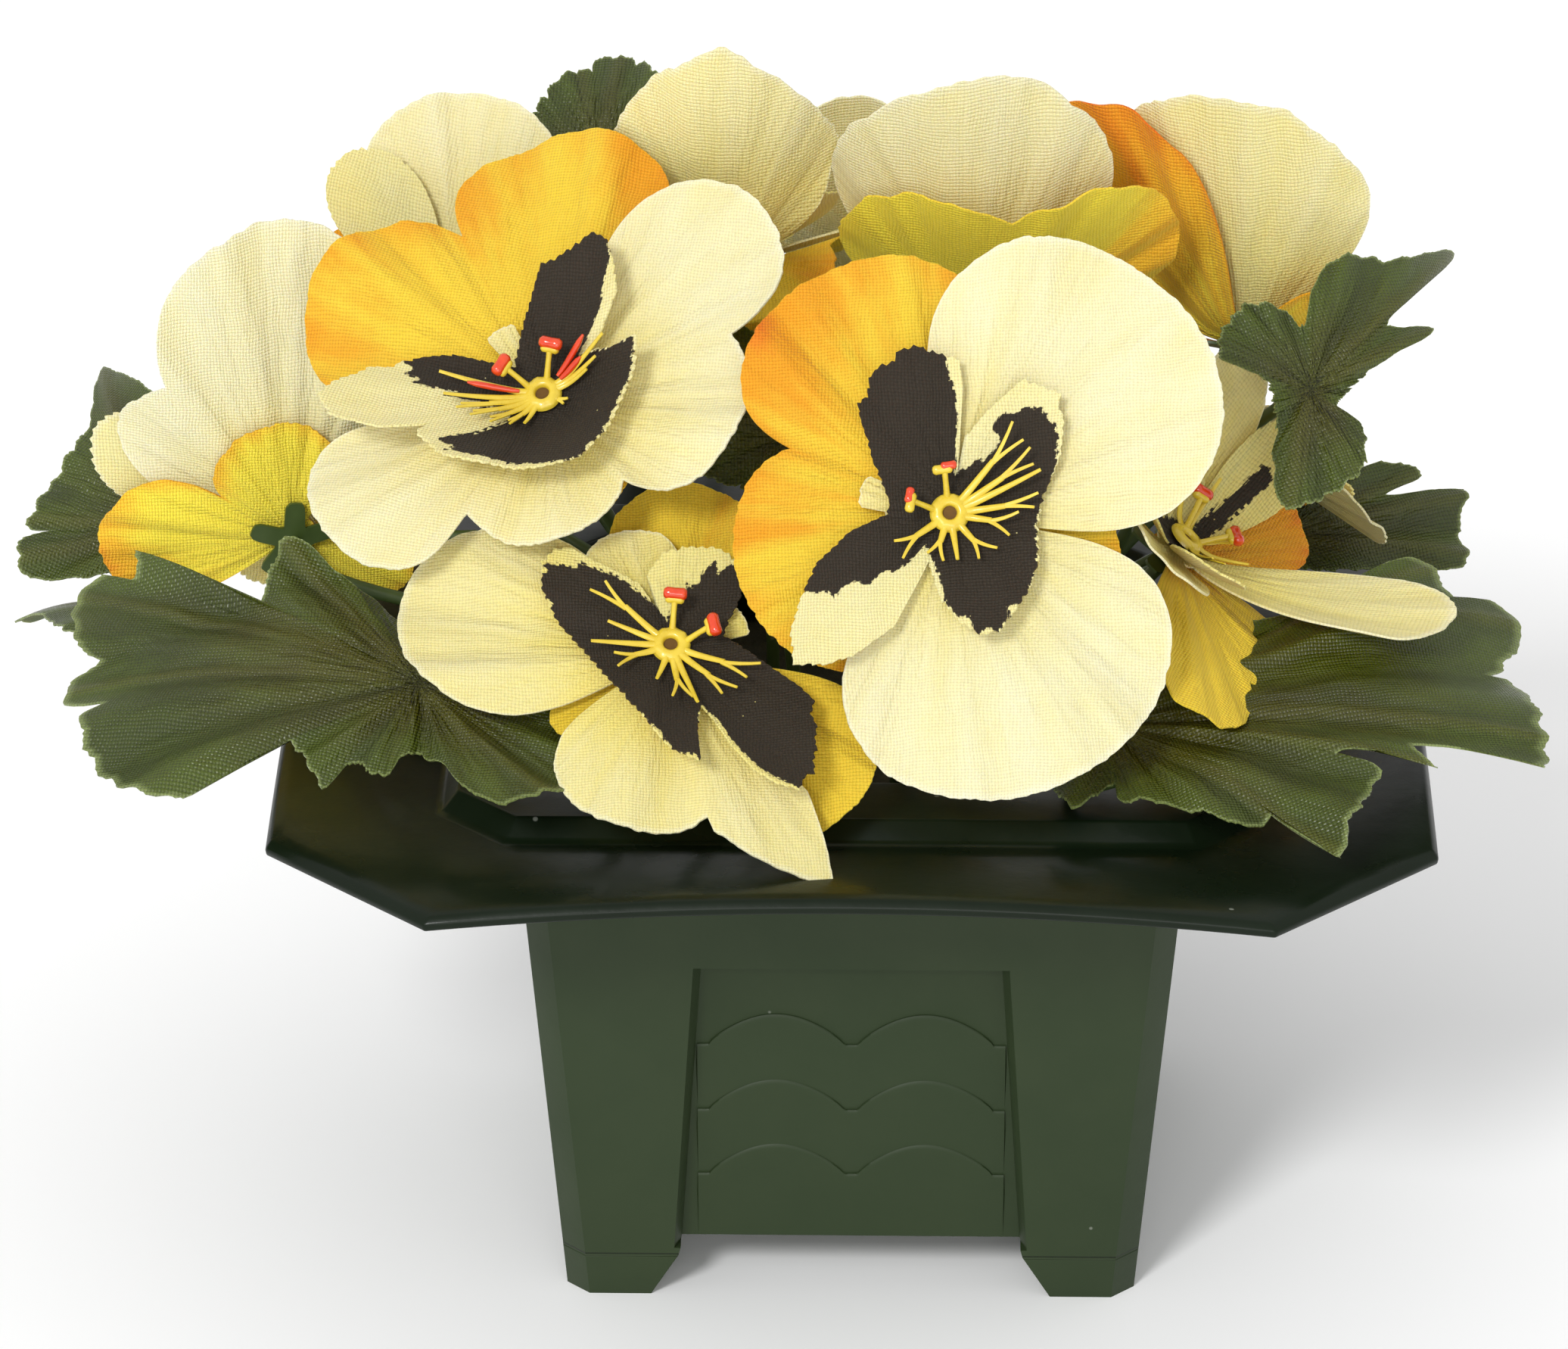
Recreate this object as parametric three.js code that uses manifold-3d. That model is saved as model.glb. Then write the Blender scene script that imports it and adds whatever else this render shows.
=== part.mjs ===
// Potted pansy planter: fabric pansies and leaves in a square plastic pot with a wide collar.
// Millimetres, +Z up. Everything is laid out round the pot's own axis and shifted once at the end.
import * as THREE from 'three';
import Module from 'manifold-3d';

const wasm = await Module();
wasm.setup();
const { Manifold, Mesh: SolidMesh } = wasm;

// Pot
const POT_FOOT_HALF = 47.0;
const POT_RIM_HALF = 54.05;
const POT_RIM_Z = 86.0;
const POT_CHAMFER = 3.85;
const POT_WALL = 2.4;
const POT_FLOOR_UNDER = 9.5;
const POT_FLOOR_TOP = 12.0;
const PANEL_TOP_Z = 61.6;
const PANEL_TOP_HALF = 24.4;
const PANEL_LOW_HALF = 27.9;
const PANEL_DEPTH = 3.9;
const PANEL_DRAFT = 1.5;
const FOOT_NOTCH_HALF = 33.0;
const WAVE_ROW_Z = [46.6, 34.1, 21.7];
const WAVE_RISE = 5.7;
const WAVE_STEP = 0.55;
const WAVE_END_X = 23.2;
const WAVE_CUSP_X = 1.2;

// Collar
const PLATE_HALF = 93.0;
const PLATE_CUT = 26.7;
const LIP_LOW_Z = 89.2;
const LIP_HEIGHT = 2.9;
const PLATE_ARCH = 3.5;
const RIM_HALF = 66.0;
const RIM_CUT = 10.8;
const RIM_TOP_Z = 95.0;
const HOLE_HALF = 49.2;
const SKIRT_LOW_Z = 81.2;

// Fill
const FILL_TOP_Z = 79.5;
const STEM_LOW_Z = 52.0;
const SEAT_GAP = 0.35;

// Fabric
const BLADE = 0.62;
const PIN_RADIUS = 1.2;
const EYELET_RADIUS = 1.62;
const HUB_RADIUS = 4.2;
const JOIN_TIDY = 0.012;

// The whole arrangement leans left of the pot's axis, so it is shifted to centre its outline.
const SHIFT = [15.2, -6.4, 0];

const RAD = Math.PI / 180;

function wrapDegrees(a) {
  return ((((a + 180) % 360) + 360) % 360) - 180;
}

// Solids

function solidFrom(points, triangles) {
  const flat = new Float32Array(points.flat());
  const build = (tris) => new Manifold(new SolidMesh({
    numProp: 3, vertProperties: flat, triVerts: new Uint32Array(tris.flat()),
  }));
  const body = build(triangles);
  if (body.volume() > 0) {
    return body;
  }
  return build(triangles.map(([a, b, c]) => [a, c, b]));
}

function octagon(half, cut, z) {
  const inner = half - cut;
  return [
    [half, -inner, z], [half, inner, z], [inner, half, z], [-inner, half, z],
    [-half, inner, z], [-half, -inner, z], [-inner, -half, z], [inner, -half, z],
  ];
}

function hullOf(...rings) {
  return Manifold.hull(rings.flat());
}

// The body itself, without any sliver that a join leaves beside it or at one point of it.
function largest(body) {
  let kept = body.simplify(JOIN_TIDY);
  for (let round = 0; round < 3; round += 1) {
    const data = kept.getMesh();
    const again = new Manifold(new SolidMesh({
      numProp: 3, vertProperties: data.vertProperties, triVerts: data.triVerts,
    }));
    kept = again.decompose().sort((a, b) => b.volume() - a.volume())[0];
  }
  return kept;
}

function potHalfAt(z) {
  return POT_FOOT_HALF + ((POT_RIM_HALF - POT_FOOT_HALF) * z) / POT_RIM_Z;
}

// A tube along a path, with flat ends. The radius is one value or one for each station.
function tube(path, radii, sides) {
  const points = [];
  const tris = [];
  const curve = path.map((p) => new THREE.Vector3(...p));
  let side = null;
  curve.forEach((p, i) => {
    const before = curve[Math.max(i - 1, 0)];
    const after = curve[Math.min(i + 1, curve.length - 1)];
    const along = after.clone().sub(before).normalize();
    if (side === null) {
      side = Math.abs(along.x) < 0.8 ? new THREE.Vector3(1, 0, 0) : new THREE.Vector3(0, 1, 0);
    }
    side.addScaledVector(along, -side.dot(along)).normalize();
    const other = along.clone().cross(side);
    const radius = Array.isArray(radii) ? radii[i] : radii;
    for (let k = 0; k < sides; k += 1) {
      const a = (2 * Math.PI * k) / sides;
      const q = p.clone().addScaledVector(side, radius * Math.cos(a));
      q.addScaledVector(other, radius * Math.sin(a));
      points.push(q.toArray());
    }
  });
  for (let i = 0; i + 1 < curve.length; i += 1) {
    for (let k = 0; k < sides; k += 1) {
      const a = i * sides + k;
      const b = i * sides + ((k + 1) % sides);
      tris.push([a, b, b + sides], [a, b + sides, a + sides]);
    }
  }
  const last = (curve.length - 1) * sides;
  for (let k = 1; k + 1 < sides; k += 1) {
    tris.push([0, k + 1, k], [last, last + k, last + k + 1]);
  }
  return solidFrom(points, tris);
}

// A flat washer about the local z axis.
function washer(inner, outer, low, high, sides) {
  const points = [];
  const tris = [];
  for (let k = 0; k < sides; k += 1) {
    const a = (2 * Math.PI * k) / sides;
    for (const [r, z] of [[inner, low], [outer, low], [outer, high], [inner, high]]) {
      points.push([r * Math.cos(a), r * Math.sin(a), z]);
    }
  }
  for (let k = 0; k < sides; k += 1) {
    const n = (k + 1) % sides;
    for (let i = 0; i < 4; i += 1) {
      const j = (i + 1) % 4;
      tris.push([4 * k + i, 4 * n + i, 4 * n + j], [4 * k + i, 4 * n + j, 4 * k + j]);
    }
  }
  return solidFrom(points, tris);
}

// Outlines are made of lobes round a centre.
// A petal lobe: [angle, half spread, reach, squareness, lift, curl]
// A strap lobe: [angle, half width, reach, lift, curl]

function petalReach(lobe, angle) {
  const [at, spread, reach, square] = lobe;
  const d = Math.abs(wrapDegrees(angle - at)) / spread;
  return d >= 1 ? 0 : reach * Math.cos((Math.PI / 2) * d) ** square;
}

function strapReach(lobe, angle) {
  const [at, half, reach] = lobe;
  const d = Math.abs(wrapDegrees(angle - at));
  if (d > 85) {
    return 0;
  }
  const across = half / Math.max(Math.sin(d * RAD), 1e-6);
  return (reach ** -7 + across ** -7) ** (-1 / 7);
}

function petalAngles(lobe, full) {
  const count = lobe[1] < 20 ? 3 : full + (lobe[1] > 46 ? 1 : 0);
  const out = [];
  for (let k = 0; k < count; k += 1) {
    const t = -1 + (2 * k) / (count - 1);
    out.push(lobe[0] + lobe[1] * Math.sign(t) * (1 - (1 - Math.abs(t)) ** 1.5));
  }
  return out;
}

function strapAngles(lobe, teeth) {
  const corner = Math.atan2(lobe[1], lobe[2]) / RAD;
  const fractions = teeth ? [-2.1, -1, 0, 1, 2.1] : [-1.5, 0, 1.5];
  return fractions.map((f) => lobe[0] + f * corner);
}

// The rays of a sheet: every lobe's own angles, no two nearer than the least step.
function sortedRays(angles, least, most) {
  const sorted = angles.map((a) => ((a % 360) + 360) % 360).sort((a, b) => a - b);
  const kept = [];
  for (const a of sorted) {
    if (kept.length === 0 || a - kept[kept.length - 1] >= least) {
      kept.push(a);
    }
  }
  if (kept[0] + 360 - kept[kept.length - 1] < least) {
    kept.pop();
  }
  const filled = [];
  kept.forEach((a, i) => {
    const next = i + 1 < kept.length ? kept[i + 1] : kept[0] + 360;
    const extra = Math.ceil((next - a) / most) - 1;
    filled.push(a);
    for (let k = 1; k <= extra; k += 1) {
      filled.push(a + ((next - a) * k) / (extra + 1));
    }
  });
  return filled;
}

// A blade of even thickness over a star-shaped outline. The eyelet may be zero.
function sheet({ rays, reachAt, heightAt, eyelet, rings }) {
  const top = [];
  const low = [];
  const step = 0.25;
  const point = (r, angle) => {
    const x = r * Math.cos(angle * RAD);
    const y = r * Math.sin(angle * RAD);
    const z = heightAt(x, y);
    const gx = (heightAt(x + step, y) - heightAt(x - step, y)) / (2 * step);
    const gy = (heightAt(x, y + step) - heightAt(x, y - step)) / (2 * step);
    const n = new THREE.Vector3(-gx, -gy, 1).normalize().multiplyScalar(BLADE / 2);
    top.push([x + n.x, y + n.y, z + n.z]);
    low.push([x - n.x, y - n.y, z - n.z]);
  };
  const closed = eyelet === 0;
  const count = rays.length;
  if (closed) {
    point(0, 0);
  }
  for (const angle of rays) {
    const reach = reachAt(angle);
    for (const ring of rings) {
      point(ring <= 0 ? eyelet : Math.min(ring > 1 ? ring : eyelet + (reach - eyelet) * ring, reach), angle);
    }
  }
  const first = closed ? 1 : 0;
  const per = rings.length;
  const half = top.length;
  const id = (k, i) => first + (k % count) * per + i;
  const tris = [];
  for (let k = 0; k < count; k += 1) {
    for (let i = 0; i + 1 < per; i += 1) {
      const [a, b, c, d] = [id(k, i), id(k, i + 1), id(k + 1, i + 1), id(k + 1, i)];
      tris.push([a, b, c], [a, c, d]);
      tris.push([half + a, half + c, half + b], [half + a, half + d, half + c]);
    }
    const [o, p] = [id(k, per - 1), id(k + 1, per - 1)];
    tris.push([o, half + o, half + p], [o, half + p, p]);
    const [m, n] = [id(k, 0), id(k + 1, 0)];
    if (closed) {
      tris.push([0, m, n], [half, half + n, half + m]);
    } else {
      tris.push([m, n, half + n], [m, half + n, half + m]);
    }
  }
  return solidFrom([...top, ...low], tris);
}

// Local frame of a bloom or leaf: turned by azimuth from facing the viewer, raised by elevation.
function facing(azimuth, elevation) {
  const a = azimuth * RAD;
  const e = elevation * RAD;
  const n = new THREE.Vector3(Math.sin(a) * Math.cos(e), -Math.cos(a) * Math.cos(e), Math.sin(e));
  const x = new THREE.Vector3(Math.cos(a), Math.sin(a), 0);
  return { x, y: n.clone().cross(x), n };
}

function placed(body, frame, at) {
  const m = new THREE.Matrix4().makeBasis(frame.x, frame.y, frame.n).setPosition(...at);
  return body.transform(m.toArray());
}

function bezier(p0, p1, p2, p3, steps) {
  const curve = new THREE.CubicBezierCurve3(p0, p1, p2, p3);
  return curve.getPoints(steps).map((p) => p.toArray());
}

// Blooms

// A layer's height above the hub plane: lobes lift and curl, blended by angle between lobes.
function liftField(lobes, strap, wave) {
  const liftOf = (l) => (strap ? [l[3], l[4]] : [l[4], l[5]]);
  return (x, y) => {
    const r = Math.hypot(x, y);
    const angle = Math.atan2(y, x) / RAD;
    const h = Math.max(r - HUB_RADIUS * 0.95, 0);
    let sum = 1e-9;
    let lift = 0;
    let curl = 0;
    for (const lobe of lobes) {
      const weight = Math.exp(-((wrapDegrees(angle - lobe[0]) / 38) ** 2)) + 1e-6;
      const [a, b] = liftOf(lobe);
      sum += weight;
      lift += weight * a;
      curl += weight * b;
    }
    const ease = h / (h + 2);
    const ripple = wave * Math.sin(5 * angle * RAD + lobes[0][0]) * (h / 30) ** 2;
    return ease * h * (lift / sum + ((curl / sum) * h) / 40) + ripple;
  };
}

function above(floor, own) {
  return own + (floor - own + Math.hypot(floor - own, 0.5)) / 2;
}

const BACK_Z = 0.12;
const FRONT_Z = 1.24;
const INNER_Z = 2.3;

function bloomFields(spec) {
  const front = liftField(spec.front, false, 1.0);
  const backOwn = liftField(spec.back, false, 1.0);
  const innerOwn = liftField(spec.inner, true, 0);
  const spread = (x, y) => Math.max(Math.hypot(x, y) - HUB_RADIUS, 0);
  const back = (x, y) => -above(-(front(x, y) - 0.1 * spread(x, y)), -backOwn(x, y)) + BACK_Z;
  const inner = (x, y) => above(front(x, y) + 0.075 * spread(x, y), innerOwn(x, y)) + INNER_Z;
  return { back, front: (x, y) => front(x, y) + FRONT_Z, inner };
}

function petalLayer(lobes, heightAt, count, rings) {
  const reachAt = (angle) => Math.max(HUB_RADIUS, ...lobes.map((l) => petalReach(l, angle)));
  const rays = sortedRays(lobes.flatMap((l) => petalAngles(l, count)), 4.5, 40);
  return sheet({ rays, reachAt, heightAt, eyelet: EYELET_RADIUS, rings: [0, HUB_RADIUS * 0.95, ...rings] });
}

function innerLayer(lobes, heightAt, teeth) {
  const reachAt = (angle) => Math.max(HUB_RADIUS, ...lobes.map((l) => strapReach(l, angle)));
  const rays = sortedRays(lobes.flatMap((l) => strapAngles(l, teeth)), 5, 40);
  return sheet({ rays, reachAt, heightAt, eyelet: EYELET_RADIUS, rings: [0, HUB_RADIUS * 0.95, 1] });
}

// The moulded yellow centre: a flat star of fine arms on a ring, with two tall stalks and blunt tips.
function stamenPiece(spec, inner) {
  const arms = spec.arms;
  const base = INNER_Z + 0.95;
  const reachAt = (angle) => {
    const own = arms.find(([at]) => Math.abs(wrapDegrees(angle - at)) < 1.5);
    return own ? own[1] : 3.1;
  };
  const heightAt = (x, y) => {
    const r = Math.hypot(x, y);
    return Math.max(inner(x, y) + 1.1 + 0.2 * Math.max(r - 3, 0), base + 0.31);
  };
  const rays = sortedRays(arms.flatMap(([at]) => [at - 11, at]), 4, 44);
  const parts = [sheet({ rays, reachAt, heightAt, eyelet: EYELET_RADIUS, rings: [0, 1] })];
  for (const angle of spec.tall) {
    const at = (r, z) => [r * Math.cos(angle * RAD), r * Math.sin(angle * RAD), z];
    const foot = base + 0.35;
    const tip = heightAt(...at(6.6, 0)) + 2.8;
    parts.push(tube([at(2.4, foot), at(5.9, tip - 0.6), at(6.2, tip - 0.2), at(7.6, tip + 0.3)], [0.5, 0.6, 1.2, 1.0], 3));
  }
  return largest(Manifold.union(parts));
}

function calyx(back) {
  const lobes = [0, 1, 2, 3, 4].map((k) => [k * 72 + 20, 2.1, 9.0, 0, 0]);
  const reachAt = (angle) => Math.max(3.0, ...lobes.map((l) => strapReach(l, angle)));
  const rays = lobes.flatMap((l) => [l[0] - 36, l[0]]);
  const heightAt = (x, y) => Math.min(-0.95, back(x, y) - 0.95) - 0.03 * Math.hypot(x, y);
  return sheet({ rays, reachAt, heightAt, eyelet: 0, rings: [1] });
}

function bloom(spec) {
  const frame = facing(spec.face[0], spec.face[1]);
  const fields = bloomFields(spec);
  const rich = spec.detail;
  const back = petalLayer(spec.back, fields.back, rich ? 6 : 4, rich ? [0.55, 1] : [1]);
  const front = largest(Manifold.union([
    petalLayer(spec.front, fields.front, rich ? 6 : 5, [0.55, 1]),
    washer(2.35, 3.5, FRONT_Z, INNER_Z, 4),
    innerLayer(spec.inner, fields.inner, rich),
  ]));
  const stamens = stamenPiece(spec, fields.inner);
  const pinTop = INNER_Z + 1.6;
  const at = new THREE.Vector3(...spec.at);
  const down = (t) => at.clone().addScaledVector(frame.n, -t);
  const foot = new THREE.Vector3(spec.hole[0], spec.hole[1], STEM_LOW_Z);
  const mouth = foot.clone().setZ(FILL_TOP_Z + 1.5);
  const bend = spec.bend ?? 0.38;
  const span = down(4).distanceTo(mouth);
  const path = [
    down(-pinTop).toArray(),
    ...bezier(down(3), down(3 + span * bend), mouth.clone().setZ(mouth.z + span * 0.35), mouth, 4),
    foot.toArray(),
  ];
  const stem = largest(Manifold.union([
    tube(path, PIN_RADIUS, 4), placed(calyx(fields.back), frame, spec.at),
  ]));
  return {
    [`${spec.name}_back_petals`]: placed(back, frame, spec.at),
    [`${spec.name}_front_petals`]: placed(front, frame, spec.at),
    [`${spec.name}_stamens`]: placed(stamens, frame, spec.at),
    [`${spec.name}_stem`]: stem,
  };
}

const ARMS_OPEN = [[55, 15], [33, 14], [12, 14], [338, 10], [305, 10], [270, 9], [235, 9], [203, 11]];
const ARMS_PLAIN = [[40, 12], [5, 11], [310, 10], [260, 10], [205, 11]];

const BLOOMS = [
  {
    name: 'bloom_a', at: [-49.4, -25, 150], face: [-13, 50], detail: true, hole: [-25, -12],
    back: [[98, 31, 50, 0.16, 0.12, -0.05], [158, 40, 44, 0.18, 0.1, 0.05], [300, 50, 22, 0.3, 0, 0]],
    front: [[56, 32, 46.5, 0.2, 0.12, 0.0], [2, 46, 34.5, 0.22, 0.1, 0.1], [226, 28, 42, 0.16, 0.1, -0.05],
      [280, 48, 26, 0.16, 0.08, -0.05], [138, 15, 14.5, 0.2, 0.1, 0]],
    inner: [[86, 8, 31, 0.25, 0.1], [184, 7.5, 36, 0.14, 0.05], [42, 7.5, 19, 0.75, 0.2], [228, 7.5, 19, 0.7, 0.2],
      [318, 10, 14.5, 0.7, 0.2]],
    tall: [84, 160], arms: [[38, 10], [20, 8], [185, 11], [205, 12], [225, 11], [245, 9], [265, 8]],
  },
  {
    name: 'bloom_b', at: [15, -50, 141.5], face: [3, 35], detail: true, hole: [7, -22],
    back: [[117, 36, 43, 0.18, 0.02, 0.05], [197, 46, 34.5, 0.16, 0.05, 0], [322, 60, 30, 0.3, 0, 0]],
    front: [[45, 54, 49.5, 0.25, 0.08, 0.05], [290, 60, 46.5, 0.22, 0.05, -0.05], [167, 14, 13.5, 0.2, 0.05, 0]],
    inner: [[108, 8.2, 27.5, 0.2, 0], [50, 8.5, 26, 0.22, 0], [291, 8, 19.5, 0.3, 0.2], [222, 7.8, 28.5, 0.12, 0]],
    tall: [98, 168], arms: ARMS_OPEN,
  },
  {
    name: 'bloom_c', at: [-28.9, -52, 118.3], face: [3, 52], detail: true, hole: [-13, -33],
    back: [[84, 34, 32, 0.2, 0.1, 0], [318, 32, 39, 0.22, 0.02, -0.02], [212, 24, 22, 0.3, 0, 0]],
    front: [[167, 44, 44, 0.4, -0.04, 0.02], [256, 46, 31.5, 0.2, 0.04, -0.05], [302, 15, 47, 0.5, 0.09, 0],
      [112, 34, 23, 0.25, 0.05, 0], [24, 15, 12.5, 0.2, 0.1, 0]],
    inner: [[138, 8, 26, 0.15, 0], [62, 7.5, 21, 0.25, 0], [316, 8.5, 31, 0.15, 0], [266, 7.5, 18, 0.4, 0.3]],
    tall: [83, 11], arms: [[140, 15], [162, 12], [182, 13], [205, 10], [250, 11], [285, 13], [318, 15], [340, 16]],
  },
  {
    name: 'bloom_d', at: [-93.4, 6, 113.2], face: [-168, 12], detail: true, hole: [-35, 0], bend: 0.3,
    back: [[14, 52, 33, 0.2, 0.12, 0.1], [100, 40, 22, 0.3, 0.2, 0.1], [200, 44, 22, 0.3, 0.2, 0]],
    front: [[88, 38, 52, 0.22, 0.2, 0.05], [34, 30, 27, 0.25, 0.2, 0.05], [270, 30, 14, 0.3, 0.1, 0]],
    inner: [[20, 7.5, 27, 0.3, 0.05], [110, 7.5, 24, 0.5, 0.1], [200, 7.5, 18, 0.4, 0.1], [290, 7.5, 14, 0.3, 0.1]],
    tall: [60, 130], arms: ARMS_PLAIN,
  },
  {
    name: 'bloom_e', at: [51.3, -25, 124.8], face: [80, 50], detail: true, hole: [27, -16],
    back: [[332, 34, 30, 0.25, 0.3, 0.1], [258, 32, 23, 0.25, 0.3, 0.05], [60, 34, 28, 0.25, 0.35, 0.1]],
    front: [[18, 32, 37, 0.3, 0.55, 0.15], [270, 26, 42, 0.3, 0.45, 0.2], [165, 42, 26, 0.3, 0.35, 0.1]],
    inner: [[30, 7.5, 26, 0.75, 0.2], [345, 7, 24, 0.6, 0.2], [200, 7.5, 18, 0.6, 0.1], [115, 7.5, 18, 0.6, 0.1]],
    tall: [300, 20], arms: ARMS_PLAIN,
  },
  {
    name: 'bloom_f', at: [-67, 27, 144], face: [-20, 50], detail: false, hole: [-30, 14],
    back: [[205, 38, 26, 0.25, 0.3, 0.1], [330, 40, 20, 0.3, 0.1, 0], [100, 40, 24, 0.3, 0.2, 0]],
    front: [[96, 48, 35.5, 0.22, 0.3, 0.1], [166, 26, 24, 0.3, 0.4, 0.1], [280, 40, 17, 0.3, 0.1, 0]],
    inner: [[95, 7.5, 24, 0.5, 0.1], [190, 7.5, 24, 0.5, 0.1], [20, 7.5, 18, 0.4, 0.1], [290, 7.5, 14, 0.4, 0.1]],
    tall: [60, 130], arms: ARMS_PLAIN,
  },
  {
    name: 'bloom_g', at: [-22, 22, 155.5], face: [180, 62], detail: false, hole: [-10, 8],
    back: [[158, 46, 26, 0.25, 0.3, 0.1], [40, 34, 20, 0.3, 0.4, 0.1], [270, 50, 26, 0.3, 0.2, 0]],
    front: [[90, 56, 38, 0.22, 0.8, 0.1], [205, 40, 26, 0.3, 0.3, 0.1], [325, 40, 28, 0.3, 0.3, 0.1]],
    inner: [[70, 7.5, 20, 1.0, 0.2], [160, 7.5, 20, 0.6, 0.1], [250, 7.5, 20, 0.4, 0.1], [330, 7.5, 18, 0.5, 0.1]],
    tall: [200, 260], arms: ARMS_PLAIN,
  },
  {
    name: 'bloom_h', at: [20, 22, 144.5], face: [180, 60], detail: false, hole: [10, 6],
    back: [[74, 34, 33, 0.22, 0.5, 0.1], [136, 36, 40, 0.22, 0.4, 0.1], [270, 44, 22, 0.3, 0.2, 0]],
    front: [[92, 60, 44, 0.22, 0.75, 0.1], [215, 40, 24, 0.3, 0.3, 0.1], [325, 40, 24, 0.3, 0.3, 0.1]],
    inner: [[80, 7.5, 22, 1.0, 0.2], [160, 7.5, 20, 0.6, 0.1], [250, 7.5, 20, 0.4, 0.1], [340, 7.5, 18, 0.5, 0.1]],
    tall: [200, 260], arms: ARMS_PLAIN,
  },
  {
    name: 'bloom_i', at: [65, 33, 138], face: [165, 58], detail: false, hole: [30, 13],
    back: [[52, 42, 36, 0.25, 0.55, 0.1], [150, 34, 24, 0.25, 0.4, 0.1], [290, 44, 14, 0.3, 0.2, 0]],
    front: [[88, 56, 42, 0.22, 0.75, 0.1], [205, 36, 22, 0.3, 0.5, 0.1], [322, 40, 18, 0.3, 0.3, 0.1]],
    inner: [[80, 7.5, 22, 1.0, 0.2], [160, 7.5, 20, 0.6, 0.1], [250, 7.5, 14, 0.4, 0.1], [340, 7.5, 14, 0.5, 0.1]],
    tall: [200, 260], arms: ARMS_PLAIN,
  },
  {
    name: 'bloom_j', at: [-74, 54, 116], face: [-145, 40], detail: false, hole: [-32, 30],
    back: [[250, 40, 26, 0.25, 0.15, 0], [10, 44, 34, 0.3, 0.15, 0], [130, 50, 28, 0.3, 0.2, 0]],
    front: [[80, 52, 34, 0.3, 0.3, 0.1], [200, 44, 30, 0.3, 0.2, 0.1], [315, 40, 26, 0.3, 0.2, 0.1]],
    inner: [[120, 7.5, 22, 0.4, 0.1], [60, 7.5, 22, 0.4, 0.1], [220, 7.5, 20, 0.4, 0.1], [310, 7.5, 18, 0.4, 0.1]],
    tall: [60, 130], arms: ARMS_PLAIN,
  },
  {
    name: 'bloom_k', at: [2, 66, 131], face: [180, 38], detail: false, hole: [0, 34],
    back: [[128, 38, 32, 0.25, 0.1, 0], [200, 44, 30, 0.3, 0.1, 0], [320, 50, 26, 0.3, 0.1, 0]],
    front: [[82, 44, 43, 0.22, 0.33, 0.0], [285, 56, 30, 0.3, 0.12, 0], [170, 20, 20, 0.2, 0.1, 0]],
    inner: [[108, 7.5, 22, 0.4, 0], [50, 7.5, 22, 0.4, 0], [290, 7.5, 18, 0.3, 0.1], [222, 7.5, 22, 0.25, 0]],
    tall: [98, 168], arms: ARMS_PLAIN,
  },
  {
    name: 'bloom_l', at: [70, 36, 113], face: [125, 38], detail: false, hole: [33, 28],
    back: [[62, 34, 22, 0.25, 0.1, 0], [240, 44, 8, 0.3, 0.1, 0], [350, 44, 26, 0.3, 0.15, 0]],
    front: [[184, 32, 28, 0.25, 0.05, 0], [136, 30, 27, 0.25, 0.15, 0], [290, 44, 13, 0.3, 0.3, 0.1],
      [30, 40, 28, 0.3, 0.2, 0]],
    inner: [[142, 7.5, 17, 0.4, 0], [40, 7.5, 20, 0.3, 0], [300, 7.5, 9, 0.3, 0.1], [188, 7.5, 15, 0.3, 0]],
    tall: [98, 168], arms: ARMS_PLAIN,
  },
];

// Leaves
// Each leaf: blade centre, azimuth and elevation its face looks to, spin of the midrib on the face,
// and the hole its stalk stands in.
// A finger lobe: [angle from the midrib, half width, reach, angle of the notch after it].

const LEAF_FINGERS = [
  [0, 9, 38, 16.5], [33, 8.5, 36, 52.5], [72, 9, 26, 95], [118, 9, 24, 139], [160, 9, 36, 180],
  [-160, 9, 36, -138], [-116, 9, 24, -93], [-70, 9, 27, -51.5], [-33, 8.5, 37, -16.5],
];

// The fingers beside the stalk are shorter on the small leaves.
const SMALL_LEAF_BASE = 0.7;

const LEAVES = [
  { name: 'leaf_front_left', at: [-84, -54, 110], face: [-14, 68], spin: 184, size: 1.06, droop: -0.1, fold: 0.1,
    hole: [-38, -30] },
  { name: 'leaf_front_right', at: [74, -54, 106.5], face: [14, 73], spin: -4, size: 1.04, droop: -0.05, fold: 0.1,
    hole: [38, -34] },
  { name: 'leaf_right_high', at: [79, -3, 153], face: [30, 45], spin: 32, size: 0.66, droop: -0.1, fold: 0.2,
    stalk: 'middle', hole: [39, 12] },
  { name: 'leaf_right_mid', at: [93, 41.5, 103], face: [30, 42], spin: 2, size: 0.56, droop: -0.1, fold: 0.2,
    hole: [40, 20] },
  { name: 'leaf_middle', at: [-10, -3, 138], face: [0, 30], spin: 62, size: 0.55, droop: -0.1, fold: 0.2,
    stalk: 'middle', hole: [0, -5] },
  { name: 'leaf_left_high', at: [-127, 31, 113], face: [-35, 50], spin: 130, size: 0.66, droop: -0.1, fold: 0.2,
    stalk: 'middle', hole: [-38, 14] },
  { name: 'leaf_left_low', at: [-112, -15, 102], face: [-30, 74], spin: 185, size: 0.56, droop: -0.08, fold: 0.1,
    hole: [-39, -14] },
  { name: 'leaf_top', at: [-43.5, 56, 158.5], face: [-5, 38], spin: 100, size: 0.52, droop: -0.1, fold: 0.2,
    stalk: 'middle', hole: [-14, 24] },
  { name: 'leaf_back', at: [-34, 86, 110], face: [190, 60], spin: 268, size: 0.7, droop: -0.1, fold: 0.1,
    hole: [-14, 40] },
];

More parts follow.
